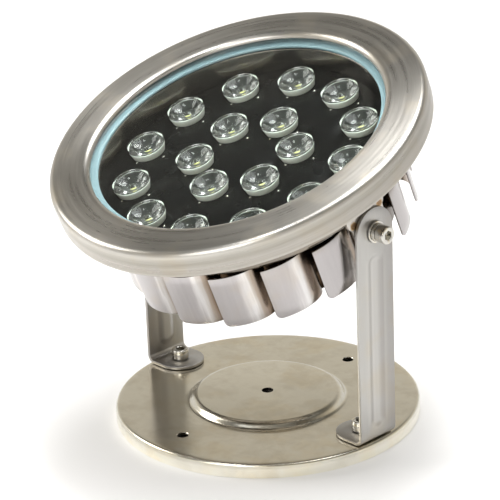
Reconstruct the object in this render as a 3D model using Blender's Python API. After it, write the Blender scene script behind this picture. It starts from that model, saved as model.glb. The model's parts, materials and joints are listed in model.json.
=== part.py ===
"""Underwater pond light: a stainless spotlight head that tilts between two arms on a round base plate.

Metres, +Z up. The origin is on the ground under the middle of the whole light. The tilt axis runs along
X. The head is drawn in its own frame, whose origin is on the tilt axis and whose +Z is the light's
beam, and "depth" means a distance below the head's face.
"""

import math

import bmesh
import bpy

MM = 0.001
GAP = 0.3 * MM  # clearance between pieces that touch

# Stand
STAND_Y = 14.5 * MM  # the stand stands behind the origin, because the head leans forward
BASE_RADIUS = 89.0 * MM
BASE_TOP = 8.4 * MM
BASE_SHEET = 1.5 * MM
BASE_EDGE_RADIUS = 2.0 * MM
DISH_RADIUS = 45.8 * MM  # pressed raised middle of the base plate
DISH_FLAT_RADIUS = 42.8 * MM
DISH_RISE = 3.75 * MM
BASE_HOLE_RADIUS = 3.25 * MM
BASE_HOLE_Y = 68.3 * MM
ARM_OUTER_X = 88.6 * MM
ARM_SHEET = 2.0 * MM
ARM_HALF_WIDTH = 14.0 * MM
ARM_BEND_RADIUS = 5.0 * MM
FOOT_HOLE_INSET = 14.0 * MM  # from the arm's outer face
BEAD_HALF_WIDTH = 5.0 * MM
BEAD_FLOOR_HALF_WIDTH = 2.8 * MM
BEAD_DEPTH = 1.4 * MM
BEAD_TOP = 19.0 * MM  # centre of the bead's round upper end, below the tilt axis
BEAD_FOOT_CLEARANCE = 14.0 * MM

# Tilt axis
PIVOT_Z = 134.9 * MM
REST_TILT = math.radians(21.4)  # the beam leans towards -Y

# Fasteners: M6 at the pivots and feet, M4 behind the bezel, M3 on the LED board
M6_RADIUS = 3.0 * MM
M6_HOLE_RADIUS = 3.3 * MM
M6_HEAD_RADIUS = 5.0 * MM
M6_HEAD_HEIGHT = 6.0 * MM
M6_KEY = 5.0 * MM
M6_NUT_FLATS = 10.0 * MM
M6_NUT_HEIGHT = 5.0 * MM
FLAT_WASHER_RADIUS = 6.25 * MM
FLAT_WASHER_HEIGHT = 1.2 * MM
SPRING_WASHER_RADIUS = 5.3 * MM
SPRING_WASHER_HEIGHT = 1.8 * MM
SPRING_WASHER_SLOT = math.radians(16)
M4_RADIUS = 2.0 * MM
M4_HOLE_RADIUS = 2.3 * MM
M4_HEAD_RADIUS = 3.5 * MM
M4_HEAD_HEIGHT = 2.6 * MM
M4_KEY = 2.5 * MM
M3_RADIUS = 1.5 * MM
M3_HOLE_RADIUS = 1.8 * MM
M3_HEAD_RADIUS = 2.75 * MM
M3_HEAD_HEIGHT = 1.8 * MM
M3_KEY = 2.0 * MM

# Head: face and bezel
FACE_HEIGHT = 49.0 * MM  # face above the tilt axis
BEZEL_RADIUS = 110.0 * MM
BEZEL_HEIGHT = 15.5 * MM
BEZEL_SHEET = 1.5 * MM
BEZEL_CORNER = 3.5 * MM
LIP_RADIUS = 86.0 * MM
LIP_ROLL = 4.0 * MM
LIP_DEPTH = 3.0 * MM
BACKING_INNER_RADIUS = 97.0 * MM
BACKING_SHEET = 3.0 * MM
BEZEL_SCREW_CIRCLE = 101.5 * MM
BEZEL_SCREWS = 6

# Head: window and housing
GLASS_RADIUS = 94.0 * MM
GLASS_THICKNESS = 5.0 * MM
GASKET_THICKNESS = 2.0 * MM
SHELL_SHEET = 1.5 * MM
SHELL_RADIUS = 84.0 * MM
FLANGE_RADIUS = 106.0 * MM
SHELF_DEPTH = 38.0 * MM
DRUM_RADIUS = 72.0 * MM
DRUM_DEPTH = 70.0 * MM
COVER_RIM_DEPTH = 62.0 * MM

# Head: cooling fins
FIN_PITCH = math.radians(20)
FIN_FIRST = math.radians(14.6)  # free edge of the first fin, from +X towards the head's +Y
FINS_PER_SIDE = 8  # the ninth on each side makes way for the pivot ear
FIN_TIP_RADIUS = 86.2 * MM
FIN_REACH = math.radians(20.5)
FIN_SHEET = 1.0 * MM
FIN_TOP_DEPTH = 38.4 * MM
FIN_BOTTOM_DEPTH = 72.6 * MM
BAND_SHEET = 1.5 * MM

# Head: pivot ears
EAR_SHEET = 2.0 * MM
EAR_END_RADIUS = 12.4 * MM
EAR_LOBE_RADIUS = 5.3 * MM
EAR_LOBE_Y = 9.7 * MM
EAR_LOBE_Z = 13.5 * MM

# Head: light engine
LENS_OUTER_CIRCLE = 66.8 * MM
LENS_INNER_CIRCLE = 30.1 * MM
LENS_RADIUS = 11.0 * MM
LENS_FOOT_RADIUS = 8.8 * MM
LENS_TOP_DEPTH = 19.7 * MM
LENS_RIM = 1.5 * MM
LENS_CAVITY_RADIUS = 3.5 * MM
LENS_CAVITY_DEPTH = 3.0 * MM
COVER_PLATE_DEPTH = 25.2 * MM
COVER_PLATE_SHEET = 1.2 * MM
BOARD_DEPTH = 29.3 * MM
BOARD_SHEET = 1.6 * MM
EMITTER_RADIUS = 2.6 * MM
EMITTER_HEIGHT = 1.5 * MM
SPREADER_THICKNESS = 5.0 * MM
BOARD_SCREW_CIRCLE = 48.0 * MM
BOARD_SCREWS = 3
DRIVER_SIZE = (72.0 * MM, 42.0 * MM, 18.0 * MM)
DRIVER_DEPTH = 38.4 * MM
DRIVER_CORNER = 4.0 * MM

# Head: cable gland
GLAND_THREAD_RADIUS = 8.0 * MM
GLAND_BORE_RADIUS = 4.6 * MM
GLAND_HEX_FLATS = 22.0 * MM
GLAND_HEX_HEIGHT = 5.0 * MM
GLAND_INNER_LENGTH = 10.0 * MM
GLAND_OUTER_LENGTH = 9.5 * MM
GLAND_CAP_FLATS = 20.0 * MM
GLAND_CAP_LIP = 1.7 * MM
GLAND_SEAL_HEIGHT = 4.0 * MM
GLAND_EXIT_RADIUS = 5.0 * MM
LOCK_NUT_HEIGHT = 4.0 * MM

# Facets around a turn
LARGE = 48
MEDIUM = 32
SMALL = 12
CUTTER_TURN = math.radians(7)  # keeps a cutter's corners off the seams of what it cuts

# Base colour, roughness and metallic of each finish
STAINLESS = ((0.62, 0.60, 0.56), 0.32, 1.0)
STAINLESS_BASE = ((0.60, 0.56, 0.48), 0.28, 1.0)
STAINLESS_FIN = ((0.60, 0.57, 0.58), 0.38, 1.0)
FASTENER = ((0.70, 0.68, 0.62), 0.22, 1.0)
ALUMINIUM = ((0.75, 0.76, 0.77), 0.40, 1.0)
BLACK_PLATE = ((0.02, 0.02, 0.02), 0.45, 0.0)
BOARD_WHITE = ((0.80, 0.82, 0.80), 0.50, 0.0)
DRIVER_GREY = ((0.12, 0.12, 0.13), 0.55, 0.0)
SILICONE = ((0.48, 0.66, 0.68), 0.45, 0.0)
RUBBER = ((0.03, 0.03, 0.03), 0.70, 0.0)
WINDOW = ((0.85, 0.95, 0.93), 0.03, 0.0)
LENS_CLEAR = ((0.92, 0.95, 0.92), 0.08, 0.0)


def clear_scene():
    for obj in list(bpy.data.objects):
        bpy.data.objects.remove(obj)


def make_material(name, finish):
    colour, roughness, metallic = finish
    material = bpy.data.materials.new(name)
    material.use_nodes = True
    shader = material.node_tree.nodes["Principled BSDF"]
    shader.inputs["Base Color"].default_value = (*colour, 1.0)
    shader.inputs["Roughness"].default_value = roughness
    shader.inputs["Metallic"].default_value = metallic
    return material


def make_mesh(name, bm, finish):
    bmesh.ops.recalc_face_normals(bm, faces=bm.faces)
    mesh = bpy.data.meshes.new(name)
    bm.to_mesh(mesh)
    bm.free()
    mesh.shade_smooth()
    mesh.set_sharp_from_angle(angle=math.radians(35))
    mesh.materials.append(make_material(name, finish))
    return mesh


def place(name, mesh, parent, at=(0, 0, 0), turn=(0, 0, 0)):
    obj = bpy.data.objects.new(name, mesh)
    bpy.context.collection.objects.link(obj)
    obj.parent = parent
    obj.location = at
    obj.rotation_euler = turn
    return obj


def add_empty(name, at, turn=(0, 0, 0)):
    empty = bpy.data.objects.new(name, None)
    bpy.context.collection.objects.link(empty)
    empty.location = at
    empty.rotation_euler = turn
    return empty


def on_circle(radius, angle):
    return (radius * math.cos(angle), radius * math.sin(angle))


def arc(centre, radius, start, end, steps):
    """Points of an arc, both ends included; the angles are in degrees."""
    cx, cy = centre
    points = []
    for i in range(steps + 1):
        x, y = on_circle(radius, math.radians(start + (end - start) * i / steps))
        points.append((cx + x, cy + y))
    return points


def ring_outline(radius, count, centre=(0, 0)):
    return arc(centre, radius, 0, 360 - 360 / count, count - 1)


def circle(radius, z, count):
    return [(x, y, z) for x, y in ring_outline(radius, count)]


def hexagon(flats, z, count):
    """A hexagon drawn with count points, a multiple of six, so that it can be lofted to a circle."""
    points = []
    for i in range(count):
        angle = 2 * math.pi * i / count
        from_flat = angle % math.radians(60) - math.radians(30)
        x, y = on_circle(flats / 2 / math.cos(from_flat), angle)
        points.append((x, y, z))
    return points


def loft(loops, closed=False):
    """A solid through loops of equal count: its ends are capped, or joined if it is closed."""
    bm = bmesh.new()
    rings = [[bm.verts.new(point) for point in loop] for loop in loops]
    pairs = list(zip(rings, rings[1:]))
    if closed:
        pairs.append((rings[-1], rings[0]))
    else:
        bm.faces.new(rings[0])
        bm.faces.new(rings[-1])
    for low, high in pairs:
        for i in range(len(low)):
            bm.faces.new((low[i - 1], low[i], high[i], high[i - 1]))
    return bm


def turned(profile, count, closed=True):
    """A turned solid; a closed profile goes round a bore, an open one starts and ends in a cap."""
    return loft([circle(radius, z, count) for radius, z in profile], closed)


def add_loop(bm, outline, z):
    verts = [bm.verts.new((x, y, z)) for x, y in outline]
    edges = [bm.edges.new((verts[i - 1], verts[i])) for i in range(len(verts))]
    return verts, edges


def fill_between(bm, loops):
    edges = [edge for _, loop_edges in loops for edge in loop_edges]
    bmesh.ops.triangle_fill(bm, use_beauty=True, use_dissolve=False, edges=edges)


def wall_between(bm, low, high):
    for i in range(len(low[0])):
        bm.faces.new((low[0][i - 1], low[0][i], high[0][i], high[0][i - 1]))


def plate(outline, z_low, z_high, holes=(), bosses=(), boss_top=0.0):
    """An extruded outline with holes through it, and bosses standing on its upper face."""
    bm = bmesh.new()
    low = [add_loop(bm, loop, z_low) for loop in (outline, *holes)]
    high = [add_loop(bm, loop, z_high) for loop in (outline, *holes)]
    boss_feet = [add_loop(bm, loop, z_high) for loop in bosses]
    fill_between(bm, low)
    fill_between(bm, high + boss_feet)
    for lower, upper in zip(low, high):
        wall_between(bm, lower, upper)
    for foot, loop in zip(boss_feet, bosses):
        top = add_loop(bm, loop, boss_top)
        wall_between(bm, foot, top)
        bm.faces.new(top[0])
    return bm


def drill(obj, name, radius, spots, parent):
    """Holes along Z through the plate at z = spots' height, cut by one hidden cylinder each."""
    for number, spot in enumerate(spots, 1):
        length = 8 * MM
        bm = turned([(radius, -length / 2), (radius, length / 2)], SMALL, closed=False)
        mesh = make_mesh(f"{name}_cutter", bm, FASTENER)
        cutter = place(f"{name}_cutter_{number}", mesh, parent, spot, (0, 0, CUTTER_TURN))
        cutter.hide_render = True
        cutter.display_type = "WIRE"
        cut = obj.modifiers.new(f"{name}_{number}", "BOOLEAN")
        cut.operation = "DIFFERENCE"
        cut.solver = "EXACT"
        cut.object = cutter


def depth(distance):
    """Height in the head's frame of a point that lies this far below the face."""
    return FACE_HEIGHT - distance


def cap_screw(radius, length, head_radius, head_height, key):
    """A socket cap screw along Z, head up, with the underside of its head at 0."""
    chamfer = 0.12 * head_radius
    floor = 0.45 * head_height
    return loft([
        circle(radius, -length, SMALL),
        circle(radius, 0, SMALL),
        circle(head_radius, 0, SMALL),
        circle(head_radius, head_height - chamfer, SMALL),
        circle(head_radius - chamfer, head_height, SMALL),
        hexagon(key, head_height, SMALL),
        hexagon(key, floor, SMALL),
    ])


def m6_screw(length):
    return cap_screw(M6_RADIUS, length, M6_HEAD_RADIUS, M6_HEAD_HEIGHT, M6_KEY)


def hex_nut(flats, hole_radius, height):
    """A nut on Z from 0 up, with its corners chamfered at both ends."""
    chamfer = 0.1 * height
    crown = flats / 2 * 0.97
    return loft([
        circle(crown, 0, SMALL),
        hexagon(flats, chamfer, SMALL),
        hexagon(flats, height - chamfer, SMALL),
        circle(crown, height, SMALL),
        circle(hole_radius, height, SMALL),
        circle(hole_radius, 0, SMALL),
    ], closed=True)


def washer(radius, hole_radius, height):
    return turned([(radius, 0), (radius, height), (hole_radius, height), (hole_radius, 0)], SMALL)


def spring_washer():
    """A split ring whose two ends stand apart."""
    start = math.degrees(SPRING_WASHER_SLOT) / 2
    outer = arc((0, 0), SPRING_WASHER_RADIUS, start, 360 - start, SMALL)
    inner = arc((0, 0), M6_HOLE_RADIUS, 360 - start, start, SMALL)
    return plate(outer + inner, 0, SPRING_WASHER_HEIGHT)


# ---------------------------------------------------------------- stand


def base_plate(stand):
    """Pressed round plate with a raised middle and a turned-down rim."""
    top = BASE_TOP
    dish_top = BASE_TOP + DISH_RISE
    sheet = BASE_SHEET
    corner = BASE_EDGE_RADIUS
    edge_centre = (BASE_RADIUS - corner, top - corner)
    profile = [(BASE_HOLE_RADIUS, dish_top), (DISH_FLAT_RADIUS, dish_top), (DISH_RADIUS, top)]
    profile += arc(edge_centre, corner, 90, 0, 3)
    profile += [(BASE_RADIUS, 0), (BASE_RADIUS - sheet, 0)]
    profile += [(BASE_RADIUS - sheet, top - corner), (BASE_RADIUS - corner, top - sheet)]
    profile += [(DISH_RADIUS - sheet, top - sheet), (DISH_FLAT_RADIUS - sheet, dish_top - sheet)]
    profile += [(BASE_HOLE_RADIUS, dish_top - sheet)]
    obj = place("base_plate", make_mesh("base_plate", turned(profile, LARGE), STAINLESS_BASE), stand)
    middle = BASE_TOP - BASE_SHEET / 2
    drill(obj, "floor_bolt", BASE_HOLE_RADIUS, [(0, -BASE_HOLE_Y, middle), (0, BASE_HOLE_Y, middle)], stand)
    foot_x = ARM_OUTER_X - FOOT_HOLE_INSET
    drill(obj, "foot", M6_HOLE_RADIUS, [(-foot_x, 0, middle), (foot_x, 0, middle)], stand)


def bead_distance(along, across):
    """Distance from the bead's centre line on the arm's flat pattern."""
    low = PIVOT_Z - BASE_TOP - BEAD_FOOT_CLEARANCE
    beyond = max(BEAD_TOP - along, 0.0, along - low)
    return math.hypot(beyond, across)


def bead_outline(half_width):
    low = PIVOT_Z - BASE_TOP - BEAD_FOOT_CLEARANCE
    return arc((BEAD_TOP, 0), half_width, 90, 270, 6) + arc((low, 0), half_width, -90, 90, 6)


def bend_arm(along, across, inward):
    """Folds the flat pattern: down from the tilt axis, round the bend and inward along the base."""
    bend_x = ARM_OUTER_X - ARM_BEND_RADIUS
    bend_z = BASE_TOP + GAP + ARM_BEND_RADIUS
    bend_start = PIVOT_Z - bend_z
    bend_end = bend_start + ARM_BEND_RADIUS * math.pi / 2
    if along <= bend_start:
        return (ARM_OUTER_X - inward, across, PIVOT_Z - along)
    if along < bend_end:
        angle = (along - bend_start) / ARM_BEND_RADIUS
        x, z = on_circle(ARM_BEND_RADIUS - inward, angle)
        return (bend_x + x, across, bend_z - z)
    return (bend_x - (along - bend_end), across, BASE_TOP + GAP + inward)


def arm_flat_pattern():
    """Sheet on Z = 0: round top, pressed bead, bend rows and a foot with a round end."""
    half = ARM_HALF_WIDTH
    bend_start = PIVOT_Z - BASE_TOP - GAP - ARM_BEND_RADIUS
    bend_end = bend_start + ARM_BEND_RADIUS * math.pi / 2
    foot_hole = bend_end + FOOT_HOLE_INSET - ARM_BEND_RADIUS
    bm = bmesh.new()
    upper = [(bend_start, half)] + arc((0, 0), half, 90, 270, 12) + [(bend_start, -half)]
    upper_loop = add_loop(bm, upper, 0)
    hole_loop = add_loop(bm, ring_outline(M6_HOLE_RADIUS, SMALL), 0)
    bead_edge = add_loop(bm, bead_outline(BEAD_HALF_WIDTH), 0)
    bead_floor = add_loop(bm, bead_outline(BEAD_FLOOR_HALF_WIDTH), 0)
    fill_between(bm, [upper_loop, hole_loop, bead_edge])
    wall_between(bm, bead_edge, bead_floor)
    bm.faces.new(bead_floor[0])
    rows = 4
    edge = (upper_loop[0][0], upper_loop[0][-1])
    for i in range(1, rows + 1):
        along = bend_start + (bend_end - bend_start) * i / rows
        new_edge = (bm.verts.new((along, half, 0)), bm.verts.new((along, -half, 0)))
        bm.faces.new((edge[0], edge[1], new_edge[1], new_edge[0]))
        edge = new_edge
    round_end = [bm.verts.new((x, y, 0)) for x, y in arc((foot_hole, 0), half, -90, 90, 12)]
    foot = [edge[0], edge[1], *round_end]
    foot_edges = [bm.edges.get((foot[i - 1], foot[i])) or bm.edges.new((foot[i - 1], foot[i]))
                  for i in range(len(foot))]
    foot_hole_loop = add_loop(bm, ring_outline(M6_HOLE_RADIUS, SMALL, (foot_hole, 0)), 0)
    fill_between(bm, [(foot, foot_edges), foot_hole_loop])
    return bm


def arm_sheet():
    bm = arm_flat_pattern()
    extruded = bmesh.ops.extrude_face_region(bm, geom=list(bm.faces))
    for item in extruded["geom"]:
        if isinstance(item, bmesh.types.BMVert):
            item.co.z = ARM_SHEET
    on_floor = (BEAD_HALF_WIDTH + BEAD_FLOOR_HALF_WIDTH) / 2
    for vert in bm.verts:
        along, across, inward = vert.co
        if bead_distance(along, across) < on_floor:
            inward += BEAD_DEPTH
        vert.co = bend_arm(along, across, inward)
    return bm


def support_arms(stand):
    mesh = make_mesh("support_arm", arm_sheet(), STAINLESS)
    place("support_arm_right", mesh, stand)
    place("support_arm_left", mesh, stand, turn=(0, 0, math.pi))


def foot_fasteners(stand):
    foot_x = ARM_OUTER_X - FOOT_HOLE_INSET
    screw_z = BASE_TOP + GAP + ARM_SHEET + GAP
    nut_z = BASE_TOP - BASE_SHEET - GAP - M6_NUT_HEIGHT
    screw = make_mesh("foot_screw", m6_screw(screw_z - 1.2 * MM), FASTENER)
    nut = make_mesh("foot_nut", hex_nut(M6_NUT_FLATS, M6_HOLE_RADIUS, M6_NUT_HEIGHT), FASTENER)
    for side, x in (("right", foot_x), ("left", -foot_x)):
        place(f"foot_screw_{side}", screw, stand, (x, 0, screw_z))
        place(f"foot_nut_{side}", nut, stand, (x, 0, nut_z))


def pivot_fasteners(stand):
    """Outside each arm a flat washer, a spring washer and a screw head; inside the ear a nut."""
    flat_x = ARM_OUTER_X + GAP
    spring_x = flat_x + FLAT_WASHER_HEIGHT + GAP
    head_x = spring_x + SPRING_WASHER_HEIGHT + GAP
    nut_x = ARM_OUTER_X - ARM_SHEET - GAP - EAR_SHEET - GAP - M6_NUT_HEIGHT
    stack = (
        ("pivot_flat_washer", washer(FLAT_WASHER_RADIUS, M6_HOLE_RADIUS, FLAT_WASHER_HEIGHT), flat_x),
        ("pivot_spring_washer", spring_washer(), spring_x),
        ("pivot_screw", m6_screw(head_x - nut_x + 1.5 * MM), head_x),
        ("pivot_nut", hex_nut(M6_NUT_FLATS, M6_HOLE_RADIUS, M6_NUT_HEIGHT), nut_x),
    )
    for name, bm, x in stack:
        mesh = make_mesh(name, bm, FASTENER)
        place(f"{name}_right", mesh, stand, (x, 0, PIVOT_Z), (0, math.pi / 2, 0))
        place(f"{name}_left", mesh, stand, (-x, 0, PIVOT_Z), (0, -math.pi / 2, 0))


# ---------------------------------------------------------------- head: bezel, window and housing


def bezel_profile():
    """Spun ring: rolled lip, flat face, round outer corner and straight rim, then back inside it."""
    sheet = BEZEL_SHEET
    roll_out = LIP_RADIUS + LIP_ROLL
    outer = []
    for i in range(4):
        angle = math.pi / 2 * i / 3
        outer.append((roll_out - LIP_ROLL * math.cos(angle), depth(LIP_DEPTH * (1 - math.sin(angle)))))
    corner = (BEZEL_RADIUS - BEZEL_CORNER, depth(BEZEL_CORNER))
    outer += arc(corner, BEZEL_CORNER, 90, 0, 4)
    outer += [(BEZEL_RADIUS, depth(BEZEL_HEIGHT)), (BEZEL_RADIUS - sheet, depth(BEZEL_HEIGHT))]
    inner = arc(corner, BEZEL_CORNER - sheet, 0, 90, 2)
    inner += [(roll_out, depth(sheet)), (LIP_RADIUS + 1.6 * MM, depth(LIP_DEPTH))]
    return outer + inner


def bezel_ring(head):
    place("bezel_ring", make_mesh("bezel_ring", turned(bezel_profile(), LARGE), STAINLESS), head)


def bezel_screw_spots(z):
    spots = []
    for i in range(BEZEL_SCREWS):
        x, y = on_circle(BEZEL_SCREW_CIRCLE, math.radians(30 + 60 * i))
        spots.append((x, y, z))
    return spots


def flange_top_depth():
    return LIP_DEPTH + GAP + GLASS_THICKNESS + GAP + GASKET_THICKNESS + GAP


def backing_ring(head):
    """Ring welded inside the bezel; the screws behind the flange thread into it."""
    low = depth(flange_top_depth() - GAP)
    holes = [ring_outline(M4_HOLE_RADIUS, SMALL, (x, y)) for x, y, _ in bezel_screw_spots(0)]
    holes.append(ring_outline(BACKING_INNER_RADIUS, LARGE))
    outline = ring_outline(BEZEL_RADIUS - BEZEL_SHEET - GAP, LARGE)
    bm = plate(outline, low, low + BACKING_SHEET, holes)
    place("bezel_backing_ring", make_mesh("bezel_backing_ring", bm, STAINLESS), head)


def glass_window(head):
    top = depth(LIP_DEPTH + GAP)
    bottom = top - GLASS_THICKNESS
    chamfer = 0.6 * MM
    profile = [(GLASS_RADIUS - chamfer, top), (GLASS_RADIUS, top - chamfer)]
    profile += [(GLASS_RADIUS, bottom + chamfer), (GLASS_RADIUS - chamfer, bottom)]
    place("glass_window", make_mesh("glass_window", turned(profile, LARGE, closed=False), WINDOW), head)


def window_gasket(head):
    top = depth(LIP_DEPTH + GAP + GLASS_THICKNESS + GAP)
    inner = SHELL_RADIUS - SHELL_SHEET
    low = top - GASKET_THICKNESS
    profile = [(inner, top), (GLASS_RADIUS, top), (GLASS_RADIUS, low), (inner, low)]
    place("window_gasket", make_mesh("window_gasket", turned(profile, LARGE), SILICONE), head)


def housing_flange(head):
    """Flat ring welded round the top of the housing; the bezel screws pass through it."""
    top = depth(flange_top_depth())
    holes = [ring_outline(M4_HOLE_RADIUS, SMALL, (x, y)) for x, y, _ in bezel_screw_spots(0)]
    holes.append(ring_outline(SHELL_RADIUS + GAP, LARGE))
    bm = plate(ring_outline(FLANGE_RADIUS, LARGE), top - SHELL_SHEET, top, holes)
    place("housing_flange", make_mesh("housing_flange", bm, STAINLESS), head)


def housing_shell(head):
    """Window wall, shelf and drum in one spun shell, open at both ends."""
    sheet = SHELL_SHEET
    top = depth(flange_top_depth())
    shelf = depth(SHELF_DEPTH)
    end = depth(DRUM_DEPTH)
    profile = [
        (SHELL_RADIUS - sheet, top),
        (SHELL_RADIUS, top),
        (SHELL_RADIUS, shelf),
        (DRUM_RADIUS, shelf),
        (DRUM_RADIUS, end),
        (DRUM_RADIUS - sheet, end),
        (DRUM_RADIUS - sheet, shelf + sheet),
        (SHELL_RADIUS - sheet, shelf + sheet),
    ]
    place("housing_shell", make_mesh("housing_shell", turned(profile, LARGE), STAINLESS), head)


def bezel_screws(head):
    underside = flange_top_depth() + SHELL_SHEET + GAP
    length = underside - flange_top_depth() + GAP + BACKING_SHEET - 0.5 * MM
    bm = cap_screw(M4_RADIUS, length, M4_HEAD_RADIUS, M4_HEAD_HEIGHT, M4_KEY)
    mesh = make_mesh("bezel_screw", bm, FASTENER)
    for number, spot in enumerate(bezel_screw_spots(depth(underside)), 1):
        place(f"bezel_screw_{number}", mesh, head, spot, (math.pi, 0, 0))


def rear_cover(head):
    """Pressed disc seam-welded into the drum, with the cable gland's hole in its middle."""
    outside = DRUM_RADIUS - SHELL_SHEET - GAP
    inside = outside - SHELL_SHEET
    back = depth(DRUM_DEPTH - 0.5 * MM)
    front = back + SHELL_SHEET
    rim = depth(COVER_RIM_DEPTH)
    hole = GLAND_THREAD_RADIUS + GAP
    profile = [(hole, back), (outside, back), (outside, rim), (inside, rim), (inside, front), (hole, front)]
    place("rear_cover", make_mesh("rear_cover", turned(profile, LARGE), STAINLESS), head)


# ---------------------------------------------------------------- head: fins and ears


def fin_outline(tip_angle, band_radius):
    """One fin: its inner face from the band out to the free edge, then its outer face back."""
    steps = 5
    rise = FIN_TIP_RADIUS - band_radius
    inner_reach = FIN_REACH - FIN_SHEET / band_radius
    inner = []
    outer = []
    for i in range(steps + 1):
        turn = math.pi / 2 * i / steps
        angle = tip_angle + inner_reach * math.sin(turn)
        inner.append(on_circle(band_radius + (rise - FIN_SHEET) * math.cos(turn), angle))
        angle = tip_angle + FIN_REACH * math.sin(turn)
        outer.append(on_circle(band_radius + rise * math.cos(turn), angle))
    return inner[::-1] + outer


def fin_band_outline():
    """The band's outer edge with a fin standing out of it at each place but the two pivot ears'."""
    band_radius = DRUM_RADIUS + GAP + BAND_SHEET
    outline = []
    for side in range(2):
        for i in range(FINS_PER_SIDE):
            tip = FIN_FIRST + math.pi * side + FIN_PITCH * i
            outline += fin_outline(tip, band_radius)
            next_root = tip + FIN_REACH + FIN_PITCH - FIN_SHEET / band_radius
            after = tip + FIN_REACH
            if i < FINS_PER_SIDE - 1:
                stops = 2
                end = next_root
            else:
                stops = 6
                end = next_root + FIN_PITCH
            for k in range(1, stops):
                outline.append(on_circle(band_radius, after + (end - after) * k / stops))
    return outline


def fin_ring(head):
    hole = ring_outline(DRUM_RADIUS + GAP, LARGE)
    bm = plate(fin_band_outline(), depth(FIN_BOTTOM_DEPTH), depth(FIN_TOP_DEPTH), [hole])
    place("fin_ring", make_mesh("fin_ring", bm, STAINLESS_FIN), head)


def ear_outline():
    """Round end on the tilt axis, two lobes above it that are spot-welded to the shell."""
    outline = arc((0, 0), EAR_END_RADIUS, 180, 360, 12)
    outline += arc((EAR_LOBE_Y, EAR_LOBE_Z), EAR_LOBE_RADIUS, -50, 90, 6)
    outline += arc((-EAR_LOBE_Y, EAR_LOBE_Z), EAR_LOBE_RADIUS, 90, 230, 6)
    return outline


def ear_brackets(head):
    inner_x = SHELL_RADIUS + GAP
    hole = ring_outline(M6_HOLE_RADIUS, SMALL)
    mesh = make_mesh("ear_bracket", plate(ear_outline(), 0, EAR_SHEET, [hole]), STAINLESS)
    place("ear_bracket_right", mesh, head, (inner_x, 0, 0), (math.pi / 2, 0, math.pi / 2))
    place("ear_bracket_left", mesh, head, (-inner_x, 0, 0), (math.pi / 2, 0, -math.pi / 2))


# ---------------------------------------------------------------- head: light engine and gland


def lens_spots():
    outer = [on_circle(LENS_OUTER_CIRCLE, math.radians(15 + 30 * i)) for i in range(12)]
    inner = [on_circle(LENS_INNER_CIRCLE, math.radians(30 + 60 * i)) for i in range(6)]
    return outer + inner


def lenses(head):
    """Collimators: a cone that widens to a rim, with a pocket for its emitter underneath."""
    top = depth(LENS_TOP_DEPTH)
    foot = depth(BOARD_DEPTH - GAP)
    profile = [
        (LENS_RADIUS, top),
        (LENS_RADIUS, top - LENS_RIM),
        (LENS_FOOT_RADIUS, foot),
        (LENS_CAVITY_RADIUS, foot),
        (LENS_CAVITY_RADIUS, foot + LENS_CAVITY_DEPTH),
    ]
    mesh = make_mesh("lens", turned(profile, SMALL, closed=False), LENS_CLEAR)
    for number, (x, y) in enumerate(lens_spots(), 1):
        place(f"lens_{number:02d}", mesh, head, (x, y, 0))


def board_screw_spots():
    return [on_circle(BOARD_SCREW_CIRCLE, 2 * math.pi * i / BOARD_SCREWS) for i in range(BOARD_SCREWS)]


def led_cover_plate(head):
    top = depth(COVER_PLATE_DEPTH)
    top_slope = (LENS_RADIUS - LENS_FOOT_RADIUS) / (BOARD_DEPTH - GAP - LENS_TOP_DEPTH - LENS_RIM)
    hole_radius = LENS_RADIUS - top_slope * (COVER_PLATE_DEPTH - LENS_TOP_DEPTH - LENS_RIM) + GAP
    holes = [ring_outline(hole_radius, SMALL, spot) for spot in lens_spots()]
    outline = ring_outline(SHELL_RADIUS - SHELL_SHEET - GAP, LARGE)
    bm = plate(outline, top - COVER_PLATE_SHEET, top, holes)
    place("led_cover_plate", make_mesh("led_cover_plate", bm, BLACK_PLATE), head)


def led_board(head):
    """Aluminium-core board carrying the emitters."""
    top = depth(BOARD_DEPTH)
    holes = [ring_outline(M3_HOLE_RADIUS, 8, spot) for spot in board_screw_spots()]
    emitters = [ring_outline(EMITTER_RADIUS, 8, spot) for spot in lens_spots()]
    outline = ring_outline(SHELL_RADIUS - SHELL_SHEET - GAP, MEDIUM)
    bm = plate(outline, top - BOARD_SHEET, top, holes, emitters, top + EMITTER_HEIGHT)
    place("led_board", make_mesh("led_board", bm, BOARD_WHITE), head)


def heat_spreader(head):
    top = depth(BOARD_DEPTH + BOARD_SHEET + GAP)
    holes = [ring_outline(M3_HOLE_RADIUS, 8, spot) for spot in board_screw_spots()]
    outline = ring_outline(SHELL_RADIUS - SHELL_SHEET - GAP, MEDIUM)
    bm = plate(outline, top - SPREADER_THICKNESS, top, holes)
    place("heat_spreader", make_mesh("heat_spreader", bm, ALUMINIUM), head)


def board_screws(head):
    seat = depth(BOARD_DEPTH - GAP)
    length = BOARD_SHEET + SPREADER_THICKNESS
    bm = cap_screw(M3_RADIUS, length, M3_HEAD_RADIUS, M3_HEAD_HEIGHT, M3_KEY)
    mesh = make_mesh("board_screw", bm, FASTENER)
    for number, (x, y) in enumerate(board_screw_spots(), 1):
        place(f"board_screw_{number}", mesh, head, (x, y, seat))


def driver_module(head):
    """Potted constant-current driver on the back of the heat spreader."""
    length, width, height = DRIVER_SIZE
    x = length / 2 - DRIVER_CORNER
    y = width / 2 - DRIVER_CORNER
    outline = []
    for cx, cy, start in ((x, y, 0), (-x, y, 90), (-x, -y, 180), (x, -y, 270)):
        outline += arc((cx, cy), DRIVER_CORNER, start, start + 90, 3)
    top = depth(DRIVER_DEPTH)
    bm = plate(outline, top - height, top)
    place("driver_module", make_mesh("driver_module", bm, DRIVER_GREY), head)


def gland_seat_depth():
    return DRUM_DEPTH - 0.5 * MM + GAP


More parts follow.
